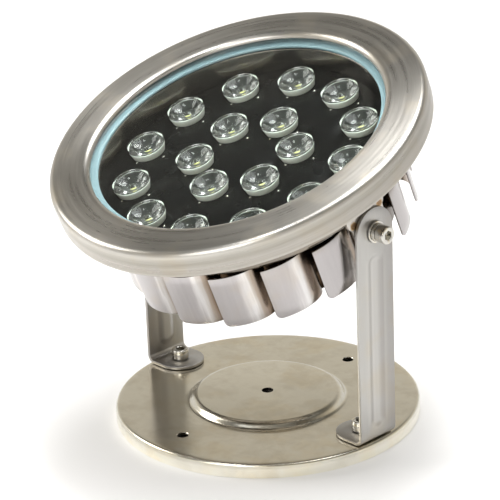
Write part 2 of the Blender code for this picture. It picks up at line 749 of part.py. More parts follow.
def gland_body(head):
    """Threaded tube through the rear cover with a hexagon outside it."""
    seat = depth(gland_seat_depth())
    bm = loft([
        circle(GLAND_THREAD_RADIUS, seat + GLAND_INNER_LENGTH, SMALL),
        circle(GLAND_THREAD_RADIUS, seat, SMALL),
        hexagon(GLAND_HEX_FLATS, seat, SMALL),
        hexagon(GLAND_HEX_FLATS, seat - GLAND_HEX_HEIGHT, SMALL),
        circle(GLAND_THREAD_RADIUS, seat - GLAND_HEX_HEIGHT, SMALL),
        circle(GLAND_THREAD_RADIUS, seat - GLAND_HEX_HEIGHT - GLAND_OUTER_LENGTH, SMALL),
        circle(GLAND_BORE_RADIUS, seat - GLAND_HEX_HEIGHT - GLAND_OUTER_LENGTH, SMALL),
        circle(GLAND_BORE_RADIUS, seat + GLAND_INNER_LENGTH, SMALL),
    ], closed=True)
    place("gland_body", make_mesh("gland_body", bm, FASTENER), head)


def gland_lock_nut(head):
    inside = depth(DRUM_DEPTH - 0.5 * MM) + SHELL_SHEET + GAP
    bm = hex_nut(GLAND_HEX_FLATS, GLAND_THREAD_RADIUS + GAP, LOCK_NUT_HEIGHT)
    place("gland_lock_nut", make_mesh("gland_lock_nut", bm, FASTENER), head, (0, 0, inside))


def gland_cap_and_seal(head):
    """Cap nut over the outer thread, squeezing a rubber seal round the cable's way out."""
    cap_top = depth(gland_seat_depth() + GLAND_HEX_HEIGHT + GAP)
    seal_top = depth(gland_seat_depth() + GLAND_HEX_HEIGHT + GLAND_OUTER_LENGTH + GAP)
    seal_low = seal_top - GLAND_SEAL_HEIGHT
    cap_floor = seal_low - GAP
    cap_low = cap_floor - GLAND_CAP_LIP
    pocket = GLAND_THREAD_RADIUS + GAP
    cap = loft([
        hexagon(GLAND_CAP_FLATS, cap_top, SMALL),
        hexagon(GLAND_CAP_FLATS, cap_floor, SMALL),
        circle(0.42 * GLAND_CAP_FLATS, cap_low, SMALL),
        circle(GLAND_EXIT_RADIUS, cap_low, SMALL),
        circle(GLAND_EXIT_RADIUS, cap_floor, SMALL),
        circle(pocket, cap_floor, SMALL),
        circle(pocket, cap_top, SMALL),
    ], closed=True)
    place("gland_cap_nut", make_mesh("gland_cap_nut", cap, FASTENER), head)
    outer = GLAND_THREAD_RADIUS
    inner = GLAND_BORE_RADIUS
    seal = turned([(outer, seal_top), (outer, seal_low), (inner, seal_low), (inner, seal_top)], SMALL)
    place("gland_seal", make_mesh("gland_seal", seal, RUBBER), head)


def main():
    clear_scene()
    stand = add_empty("stand_frame", (0, STAND_Y, 0))
    head = add_empty("head_frame", (0, STAND_Y, PIVOT_Z), (REST_TILT, 0, 0))
    base_plate(stand)
    support_arms(stand)
    foot_fasteners(stand)
    pivot_fasteners(stand)
    bezel_ring(head)
    backing_ring(head)
    glass_window(head)
    window_gasket(head)
    housing_flange(head)
    housing_shell(head)
    bezel_screws(head)
    rear_cover(head)
    fin_ring(head)
    ear_brackets(head)
    lenses(head)
    led_cover_plate(head)
    led_board(head)
    heat_spreader(head)
    board_screws(head)
    driver_module(head)
    gland_body(head)
    gland_lock_nut(head)
    gland_cap_and_seal(head)


main()
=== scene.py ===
"""The looks of the underwater pond light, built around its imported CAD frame.

Metres, +Z up. Stand pieces are drawn round a Z axis up the middle of the base plate. Head pieces are drawn
with their origin on the tilt axis and +Z along the light's beam; a depth is measured down from its face.
"""

import json
import math

import bmesh
import bpy
from mathutils import Matrix, Vector

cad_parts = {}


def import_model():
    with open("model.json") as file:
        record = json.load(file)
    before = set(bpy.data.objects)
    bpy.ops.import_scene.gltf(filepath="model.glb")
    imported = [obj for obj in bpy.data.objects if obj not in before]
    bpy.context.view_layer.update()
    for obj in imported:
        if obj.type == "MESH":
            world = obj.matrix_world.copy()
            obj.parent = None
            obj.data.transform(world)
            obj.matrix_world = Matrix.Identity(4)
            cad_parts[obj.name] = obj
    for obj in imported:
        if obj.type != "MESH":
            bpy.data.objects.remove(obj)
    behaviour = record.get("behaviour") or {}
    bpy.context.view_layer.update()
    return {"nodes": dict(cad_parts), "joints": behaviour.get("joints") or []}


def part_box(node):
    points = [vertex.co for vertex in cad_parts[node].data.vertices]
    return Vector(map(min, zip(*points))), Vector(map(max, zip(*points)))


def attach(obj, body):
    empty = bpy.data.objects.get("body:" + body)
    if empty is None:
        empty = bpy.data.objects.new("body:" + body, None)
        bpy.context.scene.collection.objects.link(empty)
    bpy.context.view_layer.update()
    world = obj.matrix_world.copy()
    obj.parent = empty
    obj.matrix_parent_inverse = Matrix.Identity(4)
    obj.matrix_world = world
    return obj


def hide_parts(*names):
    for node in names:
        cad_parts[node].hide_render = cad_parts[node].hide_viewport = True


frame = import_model()

MM = 0.001
GAP = 0.3 * MM  # clearance between pieces that touch


# ---- places, read from the frame


def middle_of(node):
    low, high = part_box(node)
    return (low + high) / 2


def span_of(node):
    low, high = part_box(node)
    return high - low


def facing(x, z):
    """A turn whose X and Z axes point along these unit vectors."""
    return Matrix((x, z.cross(x), z)).transposed().to_4x4()


def head_matrix():
    """The head's own frame: origin on the tilt axis, X along it, Z along the beam."""
    pivot = Vector(frame["joints"][0]["pos_m"])
    beam = (middle_of("glass_window") - middle_of("rear_cover")).normalized()
    return Matrix.Translation(pivot) @ facing(Vector((1, 0, 0)), beam)


def head_height(node):
    """Height of a round node's middle above the tilt axis, along the beam."""
    return (HEAD_PLACE.inverted() @ middle_of(node)).z


HEAD_PLACE = head_matrix()
BASE_MIDDLE = middle_of("base_plate")
STAND_PLACE = Matrix.Translation((BASE_MIDDLE.x, BASE_MIDDLE.y, 0))
PIVOT_Z = HEAD_PLACE.translation.z

# Head: face, bezel and window
GLASS_RADIUS = span_of("glass_window").x / 2
GLASS_THICKNESS = 5.0 * MM
LIP_DEPTH = 3.0 * MM
FACE_HEIGHT = head_height("glass_window") + GLASS_THICKNESS / 2 + GAP + LIP_DEPTH
BEZEL_RADIUS = span_of("bezel_ring").x / 2
BEZEL_HEIGHT = 15.5 * MM
BEZEL_SHEET = 1.5 * MM
BEZEL_CORNER = 3.5 * MM
LIP_RADIUS = 86.0 * MM
LIP_ROLL = 4.0 * MM
BEZEL_SCREW_CIRCLE = 101.5 * MM
GASKET_THICKNESS = 2.0 * MM

# Head: housing and fins
FLANGE_RADIUS = span_of("housing_flange").x / 2
SHELL_RADIUS = 84.0 * MM
SHELL_SHEET = 1.5 * MM
SHELF_DEPTH = 38.0 * MM
DRUM_RADIUS = 72.0 * MM
DRUM_DEPTH = 70.0 * MM
COVER_RIM_DEPTH = 62.0 * MM
FIN_PITCH = math.radians(20)
FIN_FIRST = math.radians(14.6)
FINS_PER_SIDE = 8
FIN_TIP_RADIUS = 86.2 * MM
FIN_REACH = math.radians(20.5)
FIN_SHEET = 1.0 * MM
FIN_TOP_DEPTH = 38.4 * MM
FIN_BOTTOM_DEPTH = 72.6 * MM
FIN_CORNER = 3.5 * MM
BAND_SHEET = 1.5 * MM
BAND_RADIUS = DRUM_RADIUS + GAP + BAND_SHEET

# Head: pivot ears
EAR_SHEET = 2.0 * MM
EAR_END_RADIUS = 12.4 * MM
EAR_LOBE_RADIUS = 5.3 * MM
EAR_LOBE_Y = 9.7 * MM
EAR_LOBE_Z = 13.5 * MM
WELD_RADIUS = 1.7 * MM
WELD_Y = 10.9 * MM
WELD_Z = 11.4 * MM

# Head: light engine
LENS_OUTER_CIRCLE = 66.8 * MM
LENS_INNER_CIRCLE = 30.1 * MM
LENS_RADIUS = 11.0 * MM
LENS_FOOT_RADIUS = 8.8 * MM
LENS_TOP_DEPTH = 19.7 * MM
LENS_BOWL_DEPTH = 3.7 * MM
COVER_PLATE_DEPTH = 25.2 * MM
COVER_PLATE_SHEET = 1.2 * MM
BOARD_DEPTH = 29.3 * MM
EMITTER_HEIGHT = 1.5 * MM

# Head: cable gland
GLAND_SEAT_DEPTH = DRUM_DEPTH - 0.5 * MM + GAP
GLAND_THREAD_RADIUS = 8.0 * MM
GLAND_BORE_RADIUS = 4.6 * MM
GLAND_HEX_FLATS = 22.0 * MM
GLAND_HEX_HEIGHT = 5.0 * MM
GLAND_INNER_LENGTH = 10.0 * MM
GLAND_OUTER_LENGTH = 9.5 * MM
GLAND_CAP_FLATS = 20.0 * MM
GLAND_CAP_LIP = 1.7 * MM
GLAND_SEAL_HEIGHT = 4.0 * MM
GLAND_EXIT_RADIUS = 5.0 * MM

# Stand
BASE_RADIUS = span_of("base_plate").x / 2
BASE_TOP = 8.4 * MM
BASE_SHEET = 1.5 * MM
BASE_EDGE_RADIUS = 2.0 * MM
DISH_RADIUS = 45.8 * MM
DISH_FLAT_RADIUS = 42.8 * MM
DISH_RISE = 3.75 * MM
BASE_HOLE_RADIUS = 3.25 * MM
BASE_HOLE_Y = 68.3 * MM
ARM_HALF_WIDTH = span_of("support_arm_right").y / 2
ARM_OUTER_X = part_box("support_arm_right")[1].x
ARM_SHEET = 2.0 * MM
ARM_BEND_RADIUS = 5.0 * MM
FOOT_HOLE_INSET = 14.0 * MM
FOOT_HOLE_X = ARM_OUTER_X - FOOT_HOLE_INSET
BEAD_HALF_WIDTH = 6.5 * MM
BEAD_FLOOR_HALF_WIDTH = 2.0 * MM
BEAD_DEPTH = 1.2 * MM
BEAD_TOP = 19.0 * MM
BEAD_FOOT_CLEARANCE = 14.0 * MM

# Fasteners
M6_SCREW = (3.0 * MM, 5.0 * MM, 6.0 * MM, 5.0 * MM)  # shank radius, head radius, head height, key
M6_HOLE_RADIUS = 3.3 * MM
M6_NUT_FLATS = 10.0 * MM
M6_NUT_HEIGHT = 5.0 * MM
FLAT_WASHER_RADIUS = 6.25 * MM
FLAT_WASHER_HEIGHT = 1.2 * MM
SPRING_WASHER_RADIUS = 5.3 * MM
SPRING_WASHER_HEIGHT = 1.8 * MM
SPRING_WASHER_SLOT = 16  # degrees
M4_SCREW = (2.0 * MM, 3.5 * MM, 2.6 * MM, 2.5 * MM)
M4_HOLE_RADIUS = 2.3 * MM

SIDES = (("right", 1), ("left", -1))

# Facets around a turn
LARGE = 240
MEDIUM = 96
SMALL = 48


# ---- mesh tools


def depth(distance):
    """Height in the head's frame of a point that lies this far below the face."""
    return FACE_HEIGHT - distance


def on_circle(radius, angle):
    return (radius * math.cos(angle), radius * math.sin(angle))


def arc(centre, radius, start, end, steps):
    """Points of an arc, both ends included; the angles are in degrees."""
    points = []
    for i in range(steps + 1):
        x, y = on_circle(radius, math.radians(start + (end - start) * i / steps))
        points.append((centre[0] + x, centre[1] + y))
    return points


def ring_outline(radius, count, centre=(0, 0)):
    return arc(centre, radius, 0, 360 - 360 / count, count - 1)


def rounded(corners, closed=False, steps=5):
    """A path through (x, y, radius) corners, each turned into an arc of its radius."""
    path = []
    count = len(corners)
    for i, (x, y, radius) in enumerate(corners):
        at_end = not closed and i in (0, count - 1)
        if at_end or radius == 0:
            path.append((x, y))
            continue
        here = Vector((x, y))
        before = Vector(corners[i - 1][:2]) - here
        after = Vector(corners[(i + 1) % count][:2]) - here
        half = before.angle(after) / 2
        reach = min(radius / math.tan(half), 0.48 * before.length, 0.48 * after.length)
        away = reach / math.cos(half)
        middle = here + (before.normalized() + after.normalized()).normalized() * away
        first = here + before.normalized() * reach - middle
        last = here + after.normalized() * reach - middle
        turn = first.angle_signed(last)
        for k in range(steps + 1):
            spoke = first.copy()
            spoke.rotate(Matrix.Rotation(-turn * k / steps, 2))
            path.append(tuple(middle + spoke))
    return path


def circle(radius, z, count=SMALL):
    return [(x, y, z) for x, y in ring_outline(radius, count)]


def circles(profile, count=SMALL):
    """A circle for each (radius, height) of a profile."""
    return [circle(radius, z, count) for radius, z in profile]


def hexagon(flats, z):
    """A hexagon drawn with a multiple of six points, so that it can be lofted to a circle."""
    points = []
    for i in range(SMALL):
        angle = 2 * math.pi * i / SMALL
        from_flat = angle % math.radians(60) - math.radians(30)
        x, y = on_circle(flats / 2 / math.cos(from_flat), angle)
        points.append((x, y, z))
    return points


def loft(loops, closed=False):
    """A solid through loops of equal count: its ends are capped, or joined if it is closed."""
    bm = bmesh.new()
    rings = [[bm.verts.new(point) for point in loop] for loop in loops]
    pairs = list(zip(rings, rings[1:]))
    if closed:
        pairs.append((rings[-1], rings[0]))
    else:
        bm.faces.new(rings[0])
        bm.faces.new(rings[-1])
    for low, high in pairs:
        wall_between(bm, low, high)
    return bm


def turned(profile, count, closed=True):
    """A turned solid; a closed profile goes round a bore, an open one starts and ends in a cap."""
    return loft(circles(profile, count), closed)


def join_up(bm, verts):
    """Joins a loop of vertices by edges, where two of them have none yet."""
    for i in range(len(verts)):
        if not bm.edges.get((verts[i - 1], verts[i])):
            bm.edges.new((verts[i - 1], verts[i]))


def add_loop(bm, outline, z):
    verts = [bm.verts.new((x, y, z)) for x, y in outline]
    join_up(bm, verts)
    return verts


def fill_between(bm, loops):
    edges = [bm.edges.get((loop[i - 1], loop[i])) for loop in loops for i in range(len(loop))]
    bmesh.ops.triangle_fill(bm, use_beauty=True, use_dissolve=False, edges=edges)


def wall_between(bm, low, high):
    for i in range(len(low)):
        bm.faces.new((low[i - 1], low[i], high[i], high[i - 1]))


def soften(bm, width):
    """Rounds every edge whose faces meet at more than 50 degrees."""
    bmesh.ops.recalc_face_normals(bm, faces=bm.faces)
    sharp = [e for e in bm.edges if len(e.link_faces) == 2 and e.calc_face_angle(0) > math.radians(50)]
    bmesh.ops.bevel(bm, geom=sharp, offset=width, segments=2, profile=0.5, affect="EDGES")


def plate(outline, z_low, z_high, holes=(), edge=0.3 * MM):
    """An extruded outline with holes through it and its rims rounded off."""
    bm = bmesh.new()
    low = [add_loop(bm, loop, z_low) for loop in (outline, *holes)]
    high = [add_loop(bm, loop, z_high) for loop in (outline, *holes)]
    fill_between(bm, low)
    fill_between(bm, high)
    for lower, upper in zip(low, high):
        wall_between(bm, lower, upper)
    soften(bm, edge)
    return bm


def join(bm, part, x=0, y=0):
    """Adds part to bm, moved sideways by x and y, and frees it."""
    mesh = bpy.data.meshes.new("part")
    part.transform(Matrix.Translation((x, y, 0)))
    part.to_mesh(mesh)
    part.free()
    bm.from_mesh(mesh)
    bpy.data.meshes.remove(mesh)


def make_mesh(name, bm, material, sharp=40):
    bmesh.ops.recalc_face_normals(bm, faces=bm.faces)
    mesh = bpy.data.meshes.new(name)
    bm.to_mesh(mesh)
    bm.free()
    mesh.shade_smooth()
    mesh.set_sharp_from_angle(angle=math.radians(sharp))
    mesh.materials.append(material)
    return mesh


def new_object(name, data):
    obj = bpy.data.objects.new(name, data)
    bpy.context.scene.collection.objects.link(obj)
    return obj


def add_piece(name, mesh, place, body, nodes):
    """A piece at its place in the row frame, riding on a body and standing for CAD nodes."""
    obj = new_object(name, mesh)
    obj.matrix_world = place
    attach(obj, body)
    if nodes:
        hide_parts(*nodes)


def on_head(name, mesh, slot, *nodes, at=Matrix.Identity(4)):
    add_piece(name, mesh, HEAD_PLACE @ at, "head", nodes)


def on_stand(name, mesh, slot, *nodes, at=Matrix.Identity(4)):
    add_piece(name, mesh, STAND_PLACE @ at, "stand", nodes)


def both_sides(add, name, mesh, slot, place_at):
    """The same part on the right and the left, each at the place for its side's sign."""
    for side, sign in SIDES:
        node = f"{name}_{side}"
        add(f"{node}_detail", mesh, slot, node, at=place_at(sign))


def head_part(name, bm, material, slot, *nodes, sharp=40):
    on_head(name, make_mesh(name, bm, material, sharp), slot, *nodes)


# ---- material tools


def set_stops(ramp_node, stops):
    elements = ramp_node.color_ramp.elements
    for i, (position, colour) in enumerate(stops):
        element = elements[i] if i < 2 else elements.new(position)
        element.position = position
        element.color = (*colour, 1.0)


class Look:
    """A material under construction: short ways to add and join nodes."""

    def __init__(self, name):
        self.material = bpy.data.materials.new(name)
        self.material.use_nodes = True
        self.tree = self.material.node_tree
        self.main = self.tree.nodes["Principled BSDF"]
        self.output = self.tree.nodes["Material Output"]

    def feed(self, node, key, value):
        """Joins a socket to an input, or sets the input's own value."""
        socket = node.inputs[key]
        if isinstance(value, bpy.types.NodeSocket):
            self.tree.links.new(value, socket)
        elif socket.type == "RGBA" and len(value) == 3:
            socket.default_value = (*value, 1.0)
        else:
            socket.default_value = value

    def node(self, kind, settings=None, **inputs):
        node = self.tree.nodes.new("ShaderNode" + kind)
        for key, value in (settings or {}).items():
            setattr(node, key, value)
        for key, value in inputs.items():
            self.feed(node, key.replace("_", " "), value)
        return node

    def set(self, **inputs):
        for key, value in inputs.items():
            self.feed(self.main, key.replace("_", " "), value)

    def math(self, operation, first, second=0.0):
        node = self.node("Math", {"operation": operation})
        self.feed(node, 0, first)
        self.feed(node, 1, second)
        return node.outputs[0]

    def vector(self, operation, first, second=(0, 0, 0)):
        node = self.node("VectorMath", {"operation": operation})
        self.feed(node, 0, first)
        self.feed(node, 1, second)
        return node.outputs["Value" if operation in ("LENGTH", "DISTANCE") else "Vector"]

    def between(self, factor, low, high):
        """A 0 to 1 factor spread from low to high."""
        return self.node("MapRange", Value=factor, To_Min=low, To_Max=high).outputs["Result"]

    def step(self, value, low, high, kind="SMOOTHSTEP"):
        """0 below low, 1 above high, smooth or LINEAR between."""
        node = self.node("MapRange", {"interpolation_type": kind}, Value=value)
        self.feed(node, "From Min", low)
        self.feed(node, "From Max", high)
        return node.outputs["Result"]

    def ramp(self, factor, stops):
        node = self.node("ValToRGB", Fac=factor)
        set_stops(node, stops)
        return node.outputs["Color"]

    def mix(self, factor, first, second, blend="MIX"):
        node = self.node("Mix", {"data_type": "RGBA", "blend_type": blend})
        self.feed(node, 0, factor)
        self.feed(node, 6, first)
        self.feed(node, 7, second)
        return node.outputs[2]

    def tint(self, shade, other):
        return self.mix(1.0, shade, other, "MULTIPLY")

    def grey(self, value):
        return self.node("CombineXYZ", X=value, Y=value, Z=value).outputs["Vector"]

    def noise(self, vector, scale, detail=2.0, rough=0.5):
        return self.node("TexNoise", Vector=vector, Scale=scale, Detail=detail, Roughness=rough).outputs[0]

    def place(self):
        return self.node("TexCoord").outputs["Object"]

    def height(self):
        return self.node("SeparateXYZ", Vector=self.place()).outputs["Z"]

    def radius(self):
        return self.vector("LENGTH", self.vector("MULTIPLY", self.place(), (1, 1, 0)))

    def bump(self, height, strength, distance):
        node = self.node("Bump", Height=height, Strength=strength, Distance=distance)
        self.set(Normal=node.outputs["Normal"])

    def let_lamps_in(self, tint):
        """Lamp light passes straight through this glass, so what lies behind it is lit."""
        clear = self.node("BsdfTransparent", Color=tint).outputs["BSDF"]
        ray = self.node("LightPath").outputs["Is Shadow Ray"]
        mixer = self.node("MixShader")
        self.feed(mixer, 0, ray)
        self.feed(mixer, 1, self.main.outputs["BSDF"])
        self.feed(mixer, 2, clear)
        self.feed(self.output, "Surface", mixer.outputs["Shader"])


ALONG_RING = 0.003  # how much slower the brushing changes along its strokes than across them
ALONG_LINE = 0.03


def grain_space(look, grain):
    """Object coordinates squeezed so that noise runs in strokes: round the Z axis, or along x, y or z."""
    place = look.place()
    if grain == "ring":
        outward = look.vector("NORMALIZE", look.vector("MULTIPLY", place, (1, 1, 0)))
        around = look.vector("MULTIPLY", outward, (ALONG_RING, ALONG_RING, 0))
        across = look.node("CombineXYZ", Z=look.math("ADD", look.radius(), look.height()))
        return look.vector("ADD", around, across.outputs["Vector"])
    stretch = [ALONG_LINE if axis == grain else 1 for axis in "xyz"]
    return look.vector("MULTIPLY", place, stretch)


def brushed_steel(name, colour, roughness, grain, anisotropy, streaks, relief=0.2, stroke=1.0, paint=None):
    """Satin stainless: strokes along the grain and cloudy smears; paint adds marks and painted light."""
    look = Look(name)
    squeezed = grain_space(look, grain)
    fine = look.noise(squeezed, 2600 * stroke)
    coarse = look.noise(squeezed, 620 * stroke, 3)
    clouds = look.noise(look.place(), 38, 3, 0.6)
    strokes = look.math("MULTIPLY", look.math("ADD", fine, coarse), 0.5)
    lightness = look.math("ADD", look.between(strokes, 1 - streaks, 1 + streaks),
                            look.between(clouds, -0.05, 0.05))
    shade = look.tint(colour, look.grey(lightness))
    warm = look.mix(look.step(clouds, 0.48, 0.7), (1, 1, 1), (1.0, 0.965, 0.90))
    shade = look.tint(shade, warm)
    if paint:
        shade = paint(look, shade)
    smear = look.math("MULTIPLY", look.step(clouds, 0.45, 0.75), 0.05)
    uneven = look.math("ADD", look.between(coarse, roughness - 0.07, roughness + 0.07), smear)
    look.set(Base_Color=shade, Metallic=1.0, Roughness=uneven, Anisotropic=anisotropy)
    if grain == "ring":
        tangent = look.node("Tangent", {"direction_type": "RADIAL", "axis": "Z"}).outputs["Tangent"]
        look.set(Tangent=tangent, Anisotropic_Rotation=0.25)
    look.bump(strokes, relief, 0.0001)
    return look.material


def heat_marks(spots, reach):
    """Paint that browns and blues the steel round each spot, given in the piece's own frame."""

    def paint(look, shade):
        place = look.place()
        wobble = look.between(look.noise(place, 260, 3), -0.3, 0.3)
        for spot in spots:
            away = look.vector("DISTANCE", place, spot)
            level = look.math("ADD", look.math("DIVIDE", away, reach), wobble)
            marks = look.ramp(level, (
                (0.0, (0.42, 0.30, 0.20)),
                (0.45, (0.55, 0.36, 0.20)),
                (0.68, (0.86, 0.72, 0.52)),
                (0.85, (0.86, 0.88, 0.94)),
                (1.0, (1, 1, 1)),
            ))
            shade = look.tint(shade, marks)
        return shade

    return paint


def fin_heat_tint_and_painted_light(look, shade):
    """Paint for the fins: brown heat tint towards the root, where the welding was, deepened there by painted
    shade, and a painted highlight band just in from the free edge.
    """
    upright = look.vector("MULTIPLY", look.place(), (1, 1, 0.12))
    wobble = look.between(look.noise(upright, 240, 3), -1.3 * MM, 1.3 * MM)
    level = look.step(look.math("ADD", look.radius(), wobble),
                        BAND_RADIUS + 1 * MM, FIN_TIP_RADIUS - 1.5 * MM)
    # Near-black painted shade at the root with brown heat tint, then a painted highlight band (above 1) just
    # in from the free edge.
    tint = look.ramp(level, (
        (0.0, (0.12, 0.08, 0.05)),
        (0.40, (0.26, 0.19, 0.13)),
        (0.60, (0.44, 0.34, 0.26)),
        (0.80, (0.74, 0.65, 0.56)),
        (0.90, (1.12, 1.09, 1.05)),
        (0.95, (1.45, 1.46, 1.46)),
        (0.98, (1.25, 1.24, 1.24)),
        (1.0, (0.93, 0.91, 0.92)),
    ))
    return look.tint(shade, tint)


def base_marks_and_painted_light(look, shade):
    """Paint for the base plate: painted shade in the centre bore, cloudy handling marks and a painted
    highlight low on the rim wall.
    """
    # Where the painted highlight goes: low on the rim wall.
    rim = look.step(look.height(), 0.85 * BASE_TOP, 0.55 * BASE_TOP)
    # Painted shade: the centre bore is painted nearly black.
    bore = look.step(look.radius(), BASE_HOLE_RADIUS + 0.25 * MM, BASE_HOLE_RADIUS + 0.05 * MM)
    shade = look.mix(bore, shade, (0.07, 0.065, 0.06))
    marks = look.step(look.noise(look.place(), 55, 4, 0.65), 0.42, 0.66)
    shade = look.tint(shade, look.mix(marks, (1.03, 1.03, 1.03), (0.93, 0.92, 0.90)))
    # Painted highlight: the rim wall is lightened by about a third.
    return look.tint(shade, look.mix(rim, (1, 1, 1), (1.35, 1.37, 1.42)))


def rim_painted_reflection_bands(look, shade):
    """Paint for the bezel: painted reflection bands, soft and darker, by height round its straight rim."""
    # Painted reflection: lighter and darker bands by height on the rim.
    reflection_bands = look.ramp(look.step(look.height(), depth(BEZEL_HEIGHT), depth(0), "LINEAR"), (
        (0.0, (0.95, 0.94, 0.93)),
        (0.14, (0.74, 0.72, 0.70)),
        (0.34, (0.80, 0.78, 0.77)),
        (0.52, (0.66, 0.65, 0.62)),
        (0.70, (0.80, 0.79, 0.77)),
        (0.90, (1, 1, 1)),
    ))
    return look.tint(shade, reflection_bands)


def bead_painted_light(look, shade):
    """Paint for the arms: painted shade along the foot of the pressed bead, painted highlights on its floor
    and just outside it, and painted shade towards the rear edge.
    """
    split = look.node("SeparateXYZ", Vector=look.place()).outputs
    across = look.math("ABSOLUTE", split["Y"])
    low = BASE_TOP + BEAD_FOOT_CLEARANCE
    high = PIVOT_Z - BEAD_TOP
    ends = look.math("MULTIPLY", look.step(split["Z"], low - 4 * MM, low),
                       look.step(split["Z"], high + 5 * MM, high + 1 * MM))
    # Painted highlight on the bead's floor and just outside it, painted shade on its sloping sides.
    bead_light_and_shade = look.ramp(look.math("DIVIDE", across, 2 * BEAD_HALF_WIDTH), (
        (0.0, (1.10, 1.10, 1.10)),
        (0.16, (1.12, 1.12, 1.12)),
        (0.30, (0.92, 0.91, 0.91)),
        (0.42, (0.90, 0.89, 0.89)),
        (0.52, (1.07, 1.07, 1.06)),
        (0.70, (1, 1, 1)),
    ))
    shade = look.mix(ends, shade, look.tint(shade, bead_light_and_shade))
    # Painted shade: the arm is darker towards its rear edge.
    rear = look.step(split["Y"], -0.4 * ARM_HALF_WIDTH, ARM_HALF_WIDTH)
    return look.tint(shade, look.mix(rear, (1, 1, 1), (0.74, 0.73, 0.74)))


def machined_steel(name, colour):
    """Bright turned fasteners with faint tool lines and worn patches."""
    look = Look(name)
    lines = look.noise(grain_space(look, "ring"), 3200)
    worn = look.noise(look.place(), 420, 3, 0.6)
    shade = look.tint(colour, look.grey(look.between(lines, 0.9, 1.08)))
    shade = look.mix(look.step(worn, 0.5, 0.75), shade, (0.80, 0.70, 0.50))
    look.set(Base_Color=shade, Metallic=1.0, Roughness=look.between(worn, 0.08, 0.26))
    look.bump(lines, 0.15, 0.00006)
    return look.material


def moulded(name, colour, roughness, grain_scale, bump=0.25, specular=0.5):
    """Plastic, rubber or paint: fine moulded grain with small shifts of shade and gloss."""
    look = Look(name)
    grain = look.noise(look.place(), grain_scale, 3)
    clouds = look.noise(look.place(), 45, 3, 0.6)
    shade = look.tint(colour, look.grey(look.between(clouds, 0.85, 1.15)))
    look.set(Base_Color=shade, Roughness=look.between(clouds, roughness - 0.06, roughness + 0.08))
    look.set(Specular_IOR_Level=specular)
    look.bump(grain, bump, 0.0001)
    return look.material


def clear_glass(name, colour, ior, tint):
    """Clear glass or moulded clear plastic with faint smears in its gloss."""
    look = Look(name)
    smears = look.noise(look.place(), 30, 3, 0.6)
    shade = look.mix(look.step(smears, 0.45, 0.8), colour, tuple(0.97 * part for part in colour))
    look.set(Base_Color=shade, Roughness=look.between(smears, 0.0, 0.02))
    look.set(Transmission_Weight=1.0, IOR=ior)
    look.let_lamps_in(tint)
    return look.material


def frosted_plastic():
    """Pale translucent lens holder, yellower towards its foot."""
    look = Look("frosted_plastic")
    clouds = look.noise(look.place(), 160, 3, 0.6)
    raised = look.step(look.height(), depth(COVER_PLATE_DEPTH), depth(LENS_TOP_DEPTH))
    shade = look.mix(raised, (0.72, 0.73, 0.62), (0.86, 0.90, 0.82))
    shade = look.tint(shade, look.grey(look.between(clouds, 0.86, 1.1)))
    look.set(Base_Color=shade, Roughness=look.between(clouds, 0.22, 0.42))
    look.set(Subsurface_Weight=0.25, Subsurface_Radius=(0.002, 0.0022, 0.0019), Subsurface_Scale=1.0)
    look.bump(clouds, 0.2, 0.00015)
    return look.material


def phosphor():
    """Yellow-green chip coating with a grainy surface."""
    look = Look("phosphor")
    grain = look.noise(look.place(), 1400, 3)
    shade = look.mix(grain, (0.62, 0.60, 0.16), (0.86, 0.82, 0.42))
    look.set(Base_Color=shade, Roughness=0.25, Coat_Weight=0.6, Coat_Roughness=0.05)
    look.bump(grain, 0.2, 0.00005)
    return look.material


# ---- fasteners


def cap_screw(length, radius, head_radius, head_height, key):
    """A socket cap screw along Z, head up, with the underside of its head at 0."""
    floor = 0.42 * head_height
    side = rounded([
        (radius, 0, 0),
        (head_radius, 0, 0.3 * MM),
        (head_radius, head_height, 0.14 * head_radius),
        (0.64 * key, head_height, 0),
    ])
    loops = circles([(0.8 * radius, -length), (radius, -length + 0.2 * radius), *side])
    loops += [hexagon(key, head_height - 0.05 * key), hexagon(key, floor)]
    return loft(loops + circles([(0.4 * key, floor), (0.05 * key, floor - 0.12 * key)]))


def hex_nut(flats, hole_radius, height):
    """A nut on Z from 0 up, its corners chamfered at both ends and its bore countersunk."""
    low = 0.1 * height
    high = height - low
    crown = 0.485 * flats
    sink = 1.12 * hole_radius
    bore = circles([(crown, height), (sink, height), (hole_radius, high), (hole_radius, low), (sink, 0)])
    return loft([circle(crown, 0), hexagon(flats, low), hexagon(flats, high), *bore], True)


def washer(radius, hole_radius, height):
    edge = 0.2 * height
    corners = [(radius, 0), (radius, height), (hole_radius, height), (hole_radius, 0)]
    return turned(rounded([(*corner, edge) for corner in corners], closed=True, steps=3), SMALL)


def spring_washer():
    """A split ring whose two ends stand apart."""
    start = SPRING_WASHER_SLOT / 2
    outer = arc((0, 0), SPRING_WASHER_RADIUS, start, 360 - start, SMALL)
    inner = arc((0, 0), M6_HOLE_RADIUS, 360 - start, start, SMALL)
    return plate(outer + inner, 0, SPRING_WASHER_HEIGHT, edge=0.2 * MM)


def facing_x(sign, x):
    """Turns a part drawn along Z to point along +X or -X, at that distance from the middle."""
    return Matrix.Translation((sign * x, 0, PIVOT_Z)) @ Matrix.Rotation(sign * math.pi / 2, 4, "Y")


